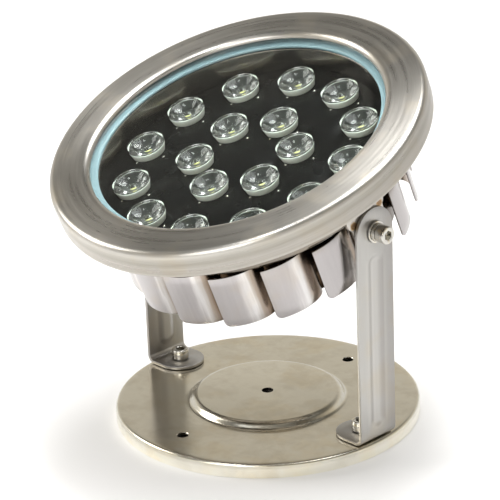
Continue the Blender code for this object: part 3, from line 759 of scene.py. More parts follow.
def pivot_fasteners(steel):
    flat_x = ARM_OUTER_X + GAP
    spring_x = flat_x + FLAT_WASHER_HEIGHT + GAP
    head_x = spring_x + SPRING_WASHER_HEIGHT + GAP
    nut_x = ARM_OUTER_X - ARM_SHEET - GAP - EAR_SHEET - GAP - M6_NUT_HEIGHT
    length = head_x - nut_x + 1.5 * MM
    screw = cap_screw(length, *M6_SCREW)
    stack = (
        ("pivot_flat_washer", washer(FLAT_WASHER_RADIUS, M6_HOLE_RADIUS, FLAT_WASHER_HEIGHT), flat_x),
        ("pivot_spring_washer", spring_washer(), spring_x),
        ("pivot_screw", screw, head_x),
        ("pivot_nut", hex_nut(M6_NUT_FLATS, M6_HOLE_RADIUS, M6_NUT_HEIGHT), nut_x),
    )
    for name, bm, x in stack:
        mesh = make_mesh(name, bm, steel)
        both_sides(on_stand, name, mesh, "fastener_stainless", lambda sign: facing_x(sign, x))


def foot_fasteners(steel):
    screw_z = BASE_TOP + GAP + ARM_SHEET + GAP
    nut_z = BASE_TOP - BASE_SHEET - GAP - M6_NUT_HEIGHT
    screw = cap_screw(screw_z - 1.2 * MM, *M6_SCREW)
    nut = hex_nut(M6_NUT_FLATS, M6_HOLE_RADIUS, M6_NUT_HEIGHT)
    parts = (("foot_screw", make_mesh("foot_screw", screw, steel), screw_z),
             ("foot_nut", make_mesh("foot_nut", nut, steel), nut_z))
    for side, sign in SIDES:
        for name, mesh, z in parts:
            node = f"{name}_{side}"
            at = Matrix.Translation((sign * FOOT_HOLE_X, 0, z))
            on_stand(f"{node}_detail", mesh, "fastener_stainless", node, at=at)


# ---- stand


def base_plate(steel):
    """Pressed plate: a lathed dish and rim joined by a flat annulus with its bolt holes."""
    dish_top = BASE_TOP + DISH_RISE
    under = BASE_TOP - BASE_SHEET
    blend = 4.6 * MM
    dish = rounded([
        (BASE_HOLE_RADIUS, dish_top - 0.5 * MM, 0),
        (BASE_HOLE_RADIUS, dish_top, 0.3 * MM),
        (BASE_HOLE_RADIUS + 0.8 * MM, dish_top, 0),
        (DISH_FLAT_RADIUS, dish_top, blend),
        (DISH_RADIUS, BASE_TOP, blend),
        (DISH_RADIUS + 3 * MM, BASE_TOP, 0),
    ], steps=8)
    flat_out = BASE_RADIUS - 2 * BASE_EDGE_RADIUS
    rim = rounded([
        (flat_out, BASE_TOP, 0),
        (BASE_RADIUS, BASE_TOP, BASE_EDGE_RADIUS),
        (BASE_RADIUS, 0, 0.4 * MM),
        (BASE_RADIUS - BASE_SHEET, 0, 0.4 * MM),
        (BASE_RADIUS - BASE_SHEET, under, 0.5 * MM),
        (flat_out, under, 0),
    ], steps=8)
    under_dish = [(r - 0.6 * BASE_SHEET, z - BASE_SHEET) for r, z in dish[:0:-1]]
    under_dish.append((BASE_HOLE_RADIUS, dish_top - BASE_SHEET))
    bore = [(BASE_HOLE_RADIUS, dish_top - 0.5 * MM), (BASE_HOLE_RADIUS, dish_top - BASE_SHEET)]
    holes = [(0, sign * BASE_HOLE_Y, BASE_HOLE_RADIUS) for sign in (-1, 1)]
    holes += [(sign * FOOT_HOLE_X, 0, M6_HOLE_RADIUS) for sign in (-1, 1)]
    chamfer = 0.3 * MM
    bm = bmesh.new()
    walls = []
    for z, inward, inside in ((BASE_TOP, -chamfer, dish[-1][0]), (under, chamfer, under_dish[0][0])):
        wide = [add_loop(bm, ring_outline(r + chamfer, SMALL, (x, y)), z) for x, y, r in holes]
        narrow = [add_loop(bm, ring_outline(r, SMALL, (x, y)), z + inward) for x, y, r in holes]
        for outer, inner in zip(wide, narrow):
            wall_between(bm, outer, inner)
        fill_between(bm, [add_loop(bm, ring_outline(r, LARGE), z) for r in (inside, flat_out)] + wide)
        walls.append(narrow)
    for top, low in zip(*walls):
        wall_between(bm, top, low)
    for path in (dish, rim, under_dish, bore):
        rings = [[bm.verts.new(point) for point in ring] for ring in circles(path, LARGE)]
        for low, high in zip(rings, rings[1:]):
            wall_between(bm, low, high)
    bmesh.ops.remove_doubles(bm, verts=bm.verts, dist=0.01 * MM)
    mesh = make_mesh("base_plate_detail", bm, steel)
    on_stand("base_plate_detail", mesh, "base_stainless", "base_plate")


BEAD_LOW = PIVOT_Z - BASE_TOP - BEAD_FOOT_CLEARANCE  # these three run down the arm from the tilt axis
BEND_START = PIVOT_Z - BASE_TOP - GAP - ARM_BEND_RADIUS
BEND_END = BEND_START + ARM_BEND_RADIUS * math.pi / 2


def bead_outline(half_width):
    return arc((BEAD_TOP, 0), half_width, 90, 270, 14) + arc((BEAD_LOW, 0), half_width, -90, 90, 14)


def bead_press(along, across):
    """How deep the bead is pressed here: a smooth trough across its width."""
    off_line = math.hypot(max(BEAD_TOP - along, 0.0, along - BEAD_LOW), across)
    share = min(max((BEAD_HALF_WIDTH - off_line) / (BEAD_HALF_WIDTH - BEAD_FLOOR_HALF_WIDTH), 0.0), 1.0)
    return BEAD_DEPTH * share * share * (3 - 2 * share)


def bend_arm(along, across, inward):
    """Folds the flat pattern: down from the tilt axis, round the bend and inward along the base."""
    if along <= BEND_START:
        return (ARM_OUTER_X - inward, across, PIVOT_Z - along)
    bend_x = ARM_OUTER_X - ARM_BEND_RADIUS
    if along < BEND_END:
        x, z = on_circle(ARM_BEND_RADIUS - inward, (along - BEND_START) / ARM_BEND_RADIUS)
        return (bend_x + x, across, PIVOT_Z - BEND_START - z)
    return (bend_x - (along - BEND_END), across, BASE_TOP + GAP + inward)


def arm_flat_pattern():
    """Sheet on Z = 0: round top, bead drawn as nested loops, bend rows and a foot with a round end."""
    half = ARM_HALF_WIDTH
    bm = bmesh.new()
    upper = add_loop(bm, [(BEND_START, half)] + arc((0, 0), half, 90, 270, 40) + [(BEND_START, -half)], 0)
    hole = add_loop(bm, ring_outline(M6_HOLE_RADIUS, SMALL), 0)
    rings = 9
    narrowing = (BEAD_HALF_WIDTH - 0.6 * MM) / rings
    widths = [BEAD_HALF_WIDTH + 0.2 * MM - i * narrowing for i in range(rings + 1)]
    bead = [add_loop(bm, bead_outline(width), 0) for width in widths]
    fill_between(bm, [upper, hole, bead[0]])
    for outer, inner in zip(bead, bead[1:]):
        wall_between(bm, outer, inner)
    bm.faces.new(bead[-1])
    rows = 12
    edge = (upper[0], upper[-1])
    for i in range(1, rows + 1):
        along = BEND_START + (BEND_END - BEND_START) * i / rows
        new_edge = (bm.verts.new((along, half, 0)), bm.verts.new((along, -half, 0)))
        bm.faces.new((edge[0], edge[1], new_edge[1], new_edge[0]))
        edge = new_edge
    foot_hole = BEND_END + FOOT_HOLE_INSET - ARM_BEND_RADIUS
    foot = [*edge, *(bm.verts.new((x, y, 0)) for x, y in arc((foot_hole, 0), half, -90, 90, 40))]
    join_up(bm, foot)
    fill_between(bm, [foot, add_loop(bm, ring_outline(M6_HOLE_RADIUS, SMALL, (foot_hole, 0)), 0)])
    return bm


def support_arms(steel):
    bm = arm_flat_pattern()
    extruded = bmesh.ops.extrude_face_region(bm, geom=list(bm.faces))
    for item in extruded["geom"]:
        if isinstance(item, bmesh.types.BMVert):
            item.co.z = ARM_SHEET
    soften(bm, 0.3 * MM)
    for vert in bm.verts:
        along, across, inward = vert.co
        vert.co = bend_arm(along, across, inward + bead_press(along, across))
    both_sides(on_stand, "support_arm", make_mesh("support_arm", bm, steel), "bracket_stainless",
               lambda sign: Matrix.Rotation(math.pi / 2 * (1 - sign), 4, "Z"))


# ---- head: bezel, window and housing


def bezel_ring(steel):
    """Spun ring: rolled lip, flat face, round outer corner and straight rim with a rolled edge."""
    roll_out = LIP_RADIUS + LIP_ROLL
    steps = 10
    lip = []
    for i in range(steps + 1):
        angle = math.pi / 2 * i / steps
        lip.append((roll_out - LIP_ROLL * math.cos(angle), depth(LIP_DEPTH * (1 - math.sin(angle)))))
    inner_corner = BEZEL_CORNER - BEZEL_SHEET
    corners = [
        (BEZEL_RADIUS, depth(0), BEZEL_CORNER),
        (BEZEL_RADIUS, depth(BEZEL_HEIGHT), 0.6 * MM),
        (BEZEL_RADIUS - BEZEL_SHEET, depth(BEZEL_HEIGHT), 0.6 * MM),
        (BEZEL_RADIUS - BEZEL_SHEET, depth(BEZEL_SHEET), inner_corner),
        (roll_out, depth(BEZEL_SHEET), 0),
        (LIP_RADIUS + 1.4 * MM, depth(LIP_DEPTH), 0),
    ]
    flat = [(roll_out + (BEZEL_RADIUS - BEZEL_CORNER - roll_out) * i / 4, depth(0)) for i in (1, 2, 3)]
    outside = rounded([(*flat[-1], 0), *corners], steps=10)
    bm = turned(lip + flat[:-1] + outside, LARGE)
    head_part("bezel_ring_detail", bm, steel, "bezel_stainless", "bezel_ring", sharp=60)


def bezel_screw_spots():
    return [on_circle(BEZEL_SCREW_CIRCLE, math.radians(30 + 60 * i)) for i in range(6)]


def flange_top_depth():
    return LIP_DEPTH + GAP + GLASS_THICKNESS + GAP + GASKET_THICKNESS + GAP


def bezel_screws(steel):
    underside = flange_top_depth() + SHELL_SHEET + GAP
    mesh = make_mesh("bezel_screw", cap_screw(5 * MM, *M4_SCREW), steel)
    for number, (x, y) in enumerate(bezel_screw_spots(), 1):
        node = f"bezel_screw_{number}"
        at = Matrix.Translation((x, y, depth(underside))) @ Matrix.Rotation(math.pi, 4, "X")
        on_head(f"{node}_detail", mesh, "fastener_stainless", node, at=at)


def glass_window(glass):
    top = depth(LIP_DEPTH + GAP)
    bottom = top - GLASS_THICKNESS
    chamfer = 0.6 * MM
    profile = [(GLASS_RADIUS - chamfer, top), (GLASS_RADIUS, top - chamfer)]
    profile += [(GLASS_RADIUS, bottom + chamfer), (GLASS_RADIUS - chamfer, bottom)]
    head_part("window", turned(profile, LARGE, False), glass, "window_glass", "glass_window", sharp=20)


def window_gasket(silicone):
    """Soft ring under the glass, its inner edge bulging where the glass presses it."""
    top = depth(LIP_DEPTH + GAP + GLASS_THICKNESS + GAP)
    inner = SHELL_RADIUS - SHELL_SHEET
    low = top - GASKET_THICKNESS
    bulge = 0.9 * MM
    corners = [(inner, top, bulge), (GLASS_RADIUS, top, bulge / 3)]
    corners += [(GLASS_RADIUS, low, bulge / 3), (inner, low, bulge)]
    bm = turned(rounded(corners, closed=True), LARGE)
    head_part("gasket", bm, silicone, "gasket_silicone", "window_gasket")


def housing_shell(steel):
    """Window wall, shelf and drum in one spun shell under a flange with its screw holes."""
    sheet = SHELL_SHEET
    top = depth(flange_top_depth())
    shelf = depth(SHELF_DEPTH)
    end = depth(DRUM_DEPTH)
    outer_bend = 2.5 * MM
    inner_bend = outer_bend - sheet
    corners = [
        (SHELL_RADIUS - sheet, top, 0.8 * MM),
        (SHELL_RADIUS + 1.5 * MM, top, 0),
        (SHELL_RADIUS + 1.5 * MM, top - sheet, 0),
        (SHELL_RADIUS, top - sheet, 0),
        (SHELL_RADIUS, shelf, outer_bend),
        (DRUM_RADIUS, shelf, 0),
        (DRUM_RADIUS, end, 0.4 * MM),
        (DRUM_RADIUS - sheet, end, 0.4 * MM),
        (DRUM_RADIUS - sheet, shelf + sheet, outer_bend),
        (SHELL_RADIUS - sheet, shelf + sheet, inner_bend),
    ]
    bm = turned(rounded(corners, closed=True), LARGE)
    holes = [ring_outline(M4_HOLE_RADIUS, SMALL, spot) for spot in bezel_screw_spots()]
    holes.append(ring_outline(SHELL_RADIUS + 1.3 * MM, LARGE))
    join(bm, plate(ring_outline(FLANGE_RADIUS, LARGE), top - sheet, top, holes, 0.25 * MM))
    head_part("housing_detail", bm, steel, "housing_stainless", "housing_shell", "housing_flange")


def rear_cover(steel):
    """Pressed disc with a raised ring and a rippled weld bead where it meets the drum."""
    outside = DRUM_RADIUS - SHELL_SHEET - GAP
    inside = outside - SHELL_SHEET
    back = depth(DRUM_DEPTH - 0.5 * MM)
    front = back + SHELL_SHEET
    rim = depth(COVER_RIM_DEPTH)
    hole = GLAND_THREAD_RADIUS + GAP
    step = 1.2 * MM
    corners = [
        (hole, back, 0.2 * MM),
        (24 * MM, back, 1.5 * MM),
        (27 * MM, back + step, 1.5 * MM),
        (50 * MM, back + step, 1.5 * MM),
        (53 * MM, back, 1.5 * MM),
        (outside, back, 1.2 * MM),
        (outside, rim, 0.3 * MM),
        (inside, rim, 0.3 * MM),
        (inside, front + step, 1 * MM),
        (hole, front + step, 0.2 * MM),
    ]
    bm = turned(rounded(corners, closed=True), LARGE)
    ripples = 160
    bead = []
    for i in range(2 * ripples):
        section = ring_outline((0.75 + 0.12 * (i % 2)) * MM, 10, (outside + GAP / 2, back + 0.35 * MM))
        bead.append([(*on_circle(r, math.pi * i / ripples), z) for r, z in section])
    join(bm, loft(bead, closed=True))
    head_part("rear_cover_detail", bm, steel, "housing_stainless", "rear_cover")


# ---- head: fins and ears


def fin_point(along, angle, inner):
    """A fin's section, from its free edge (0) to its root (1), on its outer or inner face."""
    turn = math.pi / 2 * min(along, 1.0)
    rise = FIN_TIP_RADIUS - BAND_RADIUS
    reach = FIN_REACH
    if inner:
        rise -= FIN_SHEET
        reach -= FIN_SHEET / BAND_RADIUS
    sunk = 0.7 * MM if along > 1 else 0
    return on_circle(BAND_RADIUS + rise * math.cos(turn) - sunk, angle + reach * math.sin(turn))


def fin_columns():
    """Places along a fin's section with how far its lower edge is lifted there by the round corner."""
    near_edge = FIN_TIP_RADIUS * FIN_REACH * math.pi / 2
    columns = []
    for i in range(7):
        turn = math.pi / 2 * i / 6
        columns.append((FIN_CORNER * (1 - math.cos(turn)) / near_edge, FIN_CORNER * (1 - math.sin(turn))))
    last = columns[-1][0]
    columns += [(last + (1 - last) * i / 14, 0.0) for i in range(1, 15)]
    return columns + [(1.01, 0.0)]


def fin(tip_angle):
    """One curved blade of sheet standing out of the band, round at its lower free corner."""
    bm = bmesh.new()
    rows = 6
    high = depth(FIN_TOP_DEPTH)
    grids = []
    for inner in (False, True):
        grid = []
        for along, lift in fin_columns():
            x, y = fin_point(along, tip_angle, inner)
            low = depth(FIN_BOTTOM_DEPTH) + lift
            grid.append([bm.verts.new((x, y, low + (high - low) * k / rows)) for k in range(rows + 1)])
        grids.append(grid)
        for left, right in zip(grid, grid[1:]):
            for k in range(rows):
                bm.faces.new((left[k], right[k], right[k + 1], left[k + 1]))
    outer, inner = grids
    for end in (0, -1):
        for k in range(rows):
            bm.faces.new((outer[end][k], outer[end][k + 1], inner[end][k + 1], inner[end][k]))
    for i in range(len(outer) - 1):
        for k in (0, rows):
            bm.faces.new((outer[i][k], outer[i + 1][k], inner[i + 1][k], inner[i][k]))
    soften(bm, 0.3 * MM)
    return bm


def fin_ring(steel):
    band = plate(ring_outline(BAND_RADIUS, LARGE), depth(FIN_BOTTOM_DEPTH), depth(FIN_TOP_DEPTH),
                 [ring_outline(DRUM_RADIUS + GAP, LARGE)])
    head_part("fin_band", band, steel, "fin_stainless", "fin_ring")
    for side in range(2):
        for i in range(FINS_PER_SIDE):
            number = side * FINS_PER_SIDE + i + 1
            bm = fin(FIN_FIRST + math.pi * side + FIN_PITCH * i)
            head_part(f"fin_{number:02d}", bm, steel, "fin_stainless")


def ear_outline():
    """Round end on the tilt axis, two lobes above it that are spot-welded to the shell."""
    outline = arc((0, 0), EAR_END_RADIUS, 180, 360, 40)
    outline += arc((EAR_LOBE_Y, EAR_LOBE_Z), EAR_LOBE_RADIUS, -50, 90, 16)
    outline += arc((-EAR_LOBE_Y, EAR_LOBE_Z), EAR_LOBE_RADIUS, 90, 230, 16)
    return outline


def weld_spots():
    return [(WELD_Y, WELD_Z), (-WELD_Y, WELD_Z)]


def ear_brackets(steel):
    """Ears with a dished spot weld in each lobe."""
    bm = plate(ear_outline(), 0, EAR_SHEET - 0.05 * MM, [ring_outline(M6_HOLE_RADIUS, SMALL)])
    dish = ((1.25, 0.3), (1.22, 0.02), (1, 0), (0.8, 0.02), (0.45, 0.04), (0.1, 0.045))
    for spot in weld_spots():
        turned_at(bm, [(share * WELD_RADIUS, EAR_SHEET - down * MM) for share, down in dish], spot)
    upright = Matrix.Rotation(math.pi / 2, 4, "X")
    both_sides(on_head, "ear_bracket", make_mesh("ear_bracket", bm, steel), "bracket_stainless",
               lambda sign: Matrix.Translation((sign * (SHELL_RADIUS + GAP), 0, 0))
               @ Matrix.Rotation(sign * math.pi / 2, 4, "Z") @ upright)


def turned_at(bm, profile, spot):
    """Adds an open-profiled turned solid standing at a spot."""
    join(bm, turned(profile, SMALL, False), *spot)


# ---- head: light engine


def lens_spots():
    outer = [on_circle(LENS_OUTER_CIRCLE, math.radians(15 + 30 * i)) for i in range(12)]
    inner = [on_circle(LENS_INNER_CIRCLE, math.radians(30 + 60 * i)) for i in range(6)]
    return outer + inner


def lens_body(clear):
    """Collimator from its top down: dome, shallow bowl, raised rim, fluted cone, emitter pocket."""
    top = depth(LENS_TOP_DEPTH)
    foot = depth(BOARD_DEPTH - GAP)
    bowl_low = top - LENS_BOWL_DEPTH
    dome_radius = 2.4
    bowl_radius = 9.3
    bowl_rise = 3.0 * MM
    rim_low = top - 1.3 * MM
    profile = []
    for i in range(1, 6):
        profile.append((dome_radius * MM * i / 6, bowl_low + 0.9 * MM * (1 - (i / 6) ** 2)))
    for r in (dome_radius, 3.1, 3.9, 4.8, 5.7, 6.6, 7.5, 8.4, 9.2):
        share = (r - dome_radius) / (bowl_radius - dome_radius)
        profile.append((r * MM, bowl_low + bowl_rise * share ** 1.6))
    profile += rounded([
        (bowl_radius * MM, bowl_low + bowl_rise, 0),
        (9.7 * MM, top, 0.3 * MM),
        (LENS_RADIUS, top, 0.3 * MM),
        (LENS_RADIUS, rim_low, 0.2 * MM),
        (10.2 * MM, rim_low, 0),
    ], steps=4)
    loops = circles(profile, MEDIUM)
    steps = 10
    flutes = 16
    for i in range(1, steps + 1):
        share = i / steps
        radius = (4.6 + 5.5 * math.sqrt(1 - 0.97 * share)) * MM
        ring = []
        for k in range(MEDIUM):
            angle = 2 * math.pi * k / MEDIUM
            swell = 1 + 0.03 * math.cos(flutes * angle + math.pi * i)
            ring.append((*on_circle(radius * swell, angle), rim_low + (foot - rim_low) * share))
        loops.append(ring)
    loops += circles(rounded([
        (4.2 * MM, foot, 0),
        (3.5 * MM, foot, 0.2 * MM),
        (3.2 * MM, foot + 2.9 * MM, 0.5 * MM),
        (0.3 * MM, foot + 2.4 * MM, 0),
    ], steps=4), MEDIUM)
    return make_mesh("lens_body", loft(loops), clear, sharp=50)


def lens_holder(frosted):
    """Pale cup round the collimator, widening to its rim."""
    top = depth(LENS_TOP_DEPTH) - 1.45 * MM
    foot = depth(BOARD_DEPTH - GAP)
    wall = 0.45 * MM
    corners = [
        (LENS_RADIUS, top, 0.2 * MM),
        (LENS_FOOT_RADIUS, foot, 0.2 * MM),
        (LENS_FOOT_RADIUS - wall, foot, 0.1 * MM),
        (LENS_RADIUS - wall, top, 0.15 * MM),
    ]
    return make_mesh("lens_holder", turned(rounded(corners, closed=True, steps=3), MEDIUM), frosted)


def lens_shade_skin(black):
    """A dark skin inside the cup, a sheet of painted shade, so that the collimator looks dark inside and
    shows its own sparkle.
    """
    top = depth(LENS_TOP_DEPTH) - 1.9 * MM
    foot = depth(BOARD_DEPTH - 2 * GAP)
    wall = 0.5 * MM
    skin = 0.15 * MM
    outside = [(LENS_RADIUS - wall, top), (LENS_FOOT_RADIUS - wall, foot)]
    inside = [(r - skin, z) for r, z in reversed(outside)]
    return make_mesh("lens_shade_skin", turned(outside + inside, MEDIUM), black)


def lenses(clear, frosted, shade_lining):
    body = lens_body(clear)
    holder = lens_holder(frosted)
    shade_skin = lens_shade_skin(shade_lining)
    for number, (x, y) in enumerate(lens_spots(), 1):
        at = Matrix.Translation((x, y, 0))
        on_head(f"lens_{number:02d}_body", body, "lens_clear", f"lens_{number:02d}", at=at)
        on_head(f"lens_{number:02d}_holder", holder, "lens_clear", at=at)
        # A sheet of painted shade inside each holder.
        on_head(f"lens_{number:02d}_liner", shade_skin, "board_black", at=at)


def domes(bm, spots, radius, low, seat, rise, turns):
    """Round domes of this rise that stand on seat, with a skirt down to low."""
    profile = [(radius, low)] + [(radius * math.cos(t), seat + rise * math.sin(t)) for t in turns]
    for spot in spots:
        turned_at(bm, profile, spot)


def emitters(coating):
    """A small coated dome on each of the board's emitter seats."""
    seat = depth(BOARD_DEPTH) + EMITTER_HEIGHT
    bm = bmesh.new()
    domes(bm, lens_spots(), 2.3 * MM, seat - 0.2 * MM, seat, 1.4 * MM, (0, 0.3, 0.6, 0.9, 1.2, 1.5))
    head_part("emitter_domes", bm, coating, "lens_clear")


def led_cover_plate(black):
    top = depth(COVER_PLATE_DEPTH)
    slope = (LENS_RADIUS - LENS_FOOT_RADIUS) / (BOARD_DEPTH - GAP - LENS_TOP_DEPTH - 1.5 * MM)
    hole_radius = LENS_RADIUS - slope * (COVER_PLATE_DEPTH - LENS_TOP_DEPTH - 1.5 * MM) + GAP
    holes = [ring_outline(hole_radius, MEDIUM, spot) for spot in lens_spots()]
    outline = ring_outline(SHELL_RADIUS - SHELL_SHEET - GAP, LARGE)
    bm = plate(outline, top - COVER_PLATE_SHEET, top, holes, edge=0.25 * MM)
    head_part("led_cover_plate_detail", bm, black, "cover_black", "led_cover_plate")


def holder_pins(steel):
    """Ends of the two pegs by which each lens holder is fixed through the cover plate."""
    top = depth(COVER_PLATE_DEPTH)
    bm = bmesh.new()
    for away, angle, size in ((13.6 * MM, -4, 0.8 * MM), (11.6 * MM, -82, 0.7 * MM)):
        dx, dy = on_circle(away, math.radians(angle))
        spots = [(x + dx, y + dy) for x, y in lens_spots()]
        domes(bm, spots, size, top - 0.4 * MM, top, 0.6 * size, (0, 0.4, 0.8, 1.2, 1.5))
    head_part("holder_pins", bm, steel, "fastener_stainless")


# ---- head: cable gland


def threaded(radius, low, high, pitch):
    """Profile points of a thread from low up to high, drawn as rings."""
    root = radius - 0.45 * pitch
    points = []
    for i in range(int((high - low) / pitch)):
        for share, r in ((0.1, radius), (0.3, radius), (0.6, root), (0.8, root)):
            points.append((r, low + pitch * (i + share)))
    return points


def gland_body(steel, seat, low):
    """Threaded tube through the rear cover, with a hexagon under its seat and more thread below."""
    hex_low = seat - GLAND_HEX_HEIGHT
    chamfer = 0.6 * MM
    end = seat + GLAND_INNER_LENGTH
    loops = circles([(GLAND_THREAD_RADIUS, end), (GLAND_THREAD_RADIUS, seat), (GLAND_HEX_FLATS / 2, seat)])
    loops += [hexagon(GLAND_HEX_FLATS, seat - chamfer), hexagon(GLAND_HEX_FLATS, hex_low + chamfer)]
    loops.append(circle(GLAND_HEX_FLATS / 2, hex_low))
    loops += circles(threaded(GLAND_THREAD_RADIUS, low, hex_low, 1.5 * MM)[::-1])
    loops += circles([(GLAND_BORE_RADIUS, low), (GLAND_BORE_RADIUS, end)])
    head_part("gland_body_detail", loft(loops, True), steel, "fastener_stainless", "gland_body")


def gland_cap(steel, top, floor):
    """Hexagon cap nut with a round nose and the hole that the cable leaves by."""
    chamfer = 0.6 * MM
    low = floor - GLAND_CAP_LIP
    pocket = GLAND_THREAD_RADIUS + GAP
    loops = [circle(GLAND_CAP_FLATS / 2, top), hexagon(GLAND_CAP_FLATS, top - chamfer)]
    loops.append(hexagon(GLAND_CAP_FLATS, floor + 2 * chamfer))
    loops += circles([
        (0.485 * GLAND_CAP_FLATS, floor + 0.5 * chamfer),
        (0.45 * GLAND_CAP_FLATS, floor - chamfer),
        (0.40 * GLAND_CAP_FLATS, low),
        (GLAND_EXIT_RADIUS + 0.3 * MM, low),
        (GLAND_EXIT_RADIUS, low + 0.4 * MM),
        (GLAND_EXIT_RADIUS, floor),
        (pocket, floor),
        (pocket, top),
    ])
    head_part("gland_cap_detail", loft(loops, True), steel, "fastener_stainless", "gland_cap_nut")


def cable_gland(steel, rubber):
    """Body through the rear cover, cap nut and the rubber seal it squeezes."""
    seat = depth(GLAND_SEAT_DEPTH)
    low = seat - GLAND_HEX_HEIGHT - GLAND_OUTER_LENGTH
    seal_top = low - GAP
    seal_low = seal_top - GLAND_SEAL_HEIGHT
    gland_body(steel, seat, low)
    gland_cap(steel, seat - GLAND_HEX_HEIGHT - GAP, seal_low - GAP)
    edge = 0.5 * MM
    seal = turned(rounded([
        (GLAND_THREAD_RADIUS, seal_top, edge),
        (GLAND_THREAD_RADIUS, seal_low, edge),
        (GLAND_BORE_RADIUS, seal_low, edge),
        (GLAND_BORE_RADIUS, seal_top, edge),
    ], closed=True), SMALL)
    head_part("gland_seal_detail", seal, rubber, "seal_rubber", "gland_seal")


# ---- pieces kept from the frame


def dress(material, *names):
    """Gives CAD nodes that stay in view a material."""
    for name in names:
        mesh = frame["nodes"][name].data
        mesh.materials.clear()
        mesh.materials.append(material)


# ---- studio

CAMERA_AIM = Vector((0, 4.7 * MM, 103.7 * MM))
CAMERA_DISTANCE = 1.4135
CAMERA_AZIMUTH = math.radians(46.32)
CAMERA_ELEVATION = math.radians(22.0)
CAMERA_ROLL = math.radians(-2.22)
CAMERA_LENS = 178.8


def camera():
    back = Vector((
        math.sin(CAMERA_AZIMUTH) * math.cos(CAMERA_ELEVATION),
        -math.cos(CAMERA_AZIMUTH) * math.cos(CAMERA_ELEVATION),
        math.sin(CAMERA_ELEVATION),
    ))
    level = Vector((math.cos(CAMERA_AZIMUTH), math.sin(CAMERA_AZIMUTH), 0))
    right = level * math.cos(CAMERA_ROLL) + back.cross(level) * math.sin(CAMERA_ROLL)
    data = bpy.data.cameras.new("camera")
    data.lens = CAMERA_LENS
    data.sensor_width = 36
    data.clip_start = 0.05
    obj = new_object("camera", data)
    obj.matrix_world = Matrix.Translation(CAMERA_AIM + back * CAMERA_DISTANCE) @ facing(right, back)
    bpy.context.scene.camera = obj


def lamp(name, direction, distance, size, power, colour=(1, 1, 1)):
    """A square softbox that hangs in this direction from the light and faces it."""
    data = bpy.data.lights.new(name, "AREA")
    data.shape = "SQUARE"
    data.size = size
    data.energy = power
    data.color = colour
    obj = new_object(name, data)
    away = Vector(direction).normalized()
    obj.location = CAMERA_AIM + away * distance
    obj.rotation_euler = away.to_track_quat("Z", "Y").to_euler()
    obj.visible_camera = False


def floor():
    bm = bmesh.new()
    bmesh.ops.create_grid(bm, x_segments=8, y_segments=8, size=3)
    look = Look("studio_floor")
    shade = look.mix(look.noise(look.place(), 3), (0.91, 0.91, 0.91), (0.94, 0.94, 0.94))
    look.set(Base_Color=shade, Roughness=0.6)
    obj = new_object("floor", make_mesh("floor", bm, look.material))


def world():
    """A soft studio: pale near the floor, a dark band high up and lighter again overhead."""
    made = bpy.data.worlds.new("studio")
    made.use_nodes = True
    tree = made.node_tree
    split = tree.nodes.new("ShaderNodeSeparateXYZ")
    ramp = tree.nodes.new("ShaderNodeValToRGB")
    set_stops(ramp, (
        (0.0, (0.78, 0.77, 0.76)),
        (0.25, (0.76, 0.74, 0.70)),
        (0.40, (0.70, 0.65, 0.56)),
        (0.55, (0.34, 0.32, 0.28)),
        (0.72, (0.055, 0.054, 0.050)),
        (0.85, (0.30, 0.30, 0.29)),
        (1.0, (0.55, 0.55, 0.55)),
    ))
    tree.links.new(tree.nodes.new("ShaderNodeTexCoord").outputs["Generated"], split.inputs[0])
    tree.links.new(split.outputs["Z"], ramp.inputs["Fac"])
    tree.links.new(ramp.outputs["Color"], tree.nodes["Background"].inputs["Color"])
    bpy.context.scene.world = made


def studio():
    camera()
    floor()
    world()
    lamp("overhead", (0.1, 0.15, 1), 1.5, 0.9, 10)
    lamp("key", (-0.197, 0.300, 0.934), 1.5, 0.5, 9)
    lamp("left", (-0.751, -0.393, 0.529), 1.5, 0.7, 8, (1.0, 0.98, 0.95))
    lamp("front", (0.23, -0.83, 0.51), 1.6, 0.9, 8)
    lamp("spot_rear", (-0.077, 0.131, 0.988), 1.35, 0.2, 3.2)
    lamp("spot_middle", (-0.056, -0.328, 0.942), 1.35, 0.2, 3.2)
    bpy.context.scene.view_settings.view_transform = "Standard"


# ---- the whole


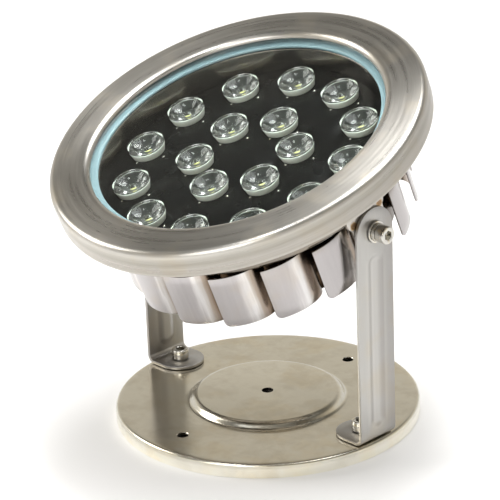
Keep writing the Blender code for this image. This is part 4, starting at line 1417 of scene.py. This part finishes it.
def main():
    studio()
    bezel = brushed_steel("bezel_steel", (0.53, 0.51, 0.47), 0.29, "ring", 0.65, 0.26, 0.02, 0.8, rim_painted_reflection_bands)
    base = brushed_steel("base_steel", (0.72, 0.69, 0.60), 0.19, "x", 0.3, 0.04, 0.02, paint=base_marks_and_painted_light)
    bracket = brushed_steel("bracket_steel", (0.47, 0.46, 0.44), 0.36, "z", 0.5, 0.1, 0.05, paint=bead_painted_light)
    welds = heat_marks([(x, y, EAR_SHEET) for x, y in weld_spots()], 3.4 * MM)
    ear_steel = brushed_steel("ear_steel", (0.55, 0.52, 0.48), 0.30, "y", 0.4, 0.10, paint=welds)
    # A darker copy of the steel: painted shade for the shell's wall seen inside the window; the rear cover
    # and backing ring share it.
    housing = brushed_steel("housing_steel_painted_shade", (0.27, 0.245, 0.215), 0.18, "ring", 0.4, 0.12, 0.08)
    fins = brushed_steel("fin_steel", (0.47, 0.455, 0.45), 0.20, "z", 0.4, 0.12, 0.04, paint=fin_heat_tint_and_painted_light)
    aluminium = brushed_steel("aluminium", (0.75, 0.76, 0.77), 0.38, "x", 0.4, 0.08)
    bright = machined_steel("fastener_steel", (0.62, 0.605, 0.565))
    glass = clear_glass("window_glass", (0.97, 0.99, 0.98), 1.45, (0.90, 0.93, 0.92))
    clear = clear_glass("lens_clear", (0.98, 1.0, 0.98), 1.49, (0.90, 0.93, 0.90))
    silicone = moulded("gasket_silicone", (0.21, 0.32, 0.355), 0.60, 500)
    rubber = moulded("seal_rubber", (0.03, 0.03, 0.03), 0.65, 900)
    black = moulded("cover_black", (0.004, 0.004, 0.0037), 0.25, 700, bump=0.05, specular=0.1)
    board = moulded("board_black", (0.05, 0.052, 0.05), 0.40, 800)
    potting = moulded("driver_grey", (0.10, 0.10, 0.11), 0.55, 600)
    base_plate(base)
    support_arms(bracket)
    foot_fasteners(bright)
    pivot_fasteners(bright)
    bezel_ring(bezel)
    bezel_screws(bright)
    glass_window(glass)
    window_gasket(silicone)
    housing_shell(housing)
    rear_cover(housing)
    fin_ring(fins)
    ear_brackets(ear_steel)
    lenses(clear, frosted_plastic(), board)
    emitters(phosphor())
    led_cover_plate(black)
    holder_pins(bright)
    cable_gland(bright, rubber)
    dress(housing, "bezel_backing_ring")
    dress(board, "led_board")
    dress(aluminium, "heat_spreader")
    dress(potting, "driver_module")
    dress(bright, "gland_lock_nut", "board_screw_1", "board_screw_2", "board_screw_3")


main()
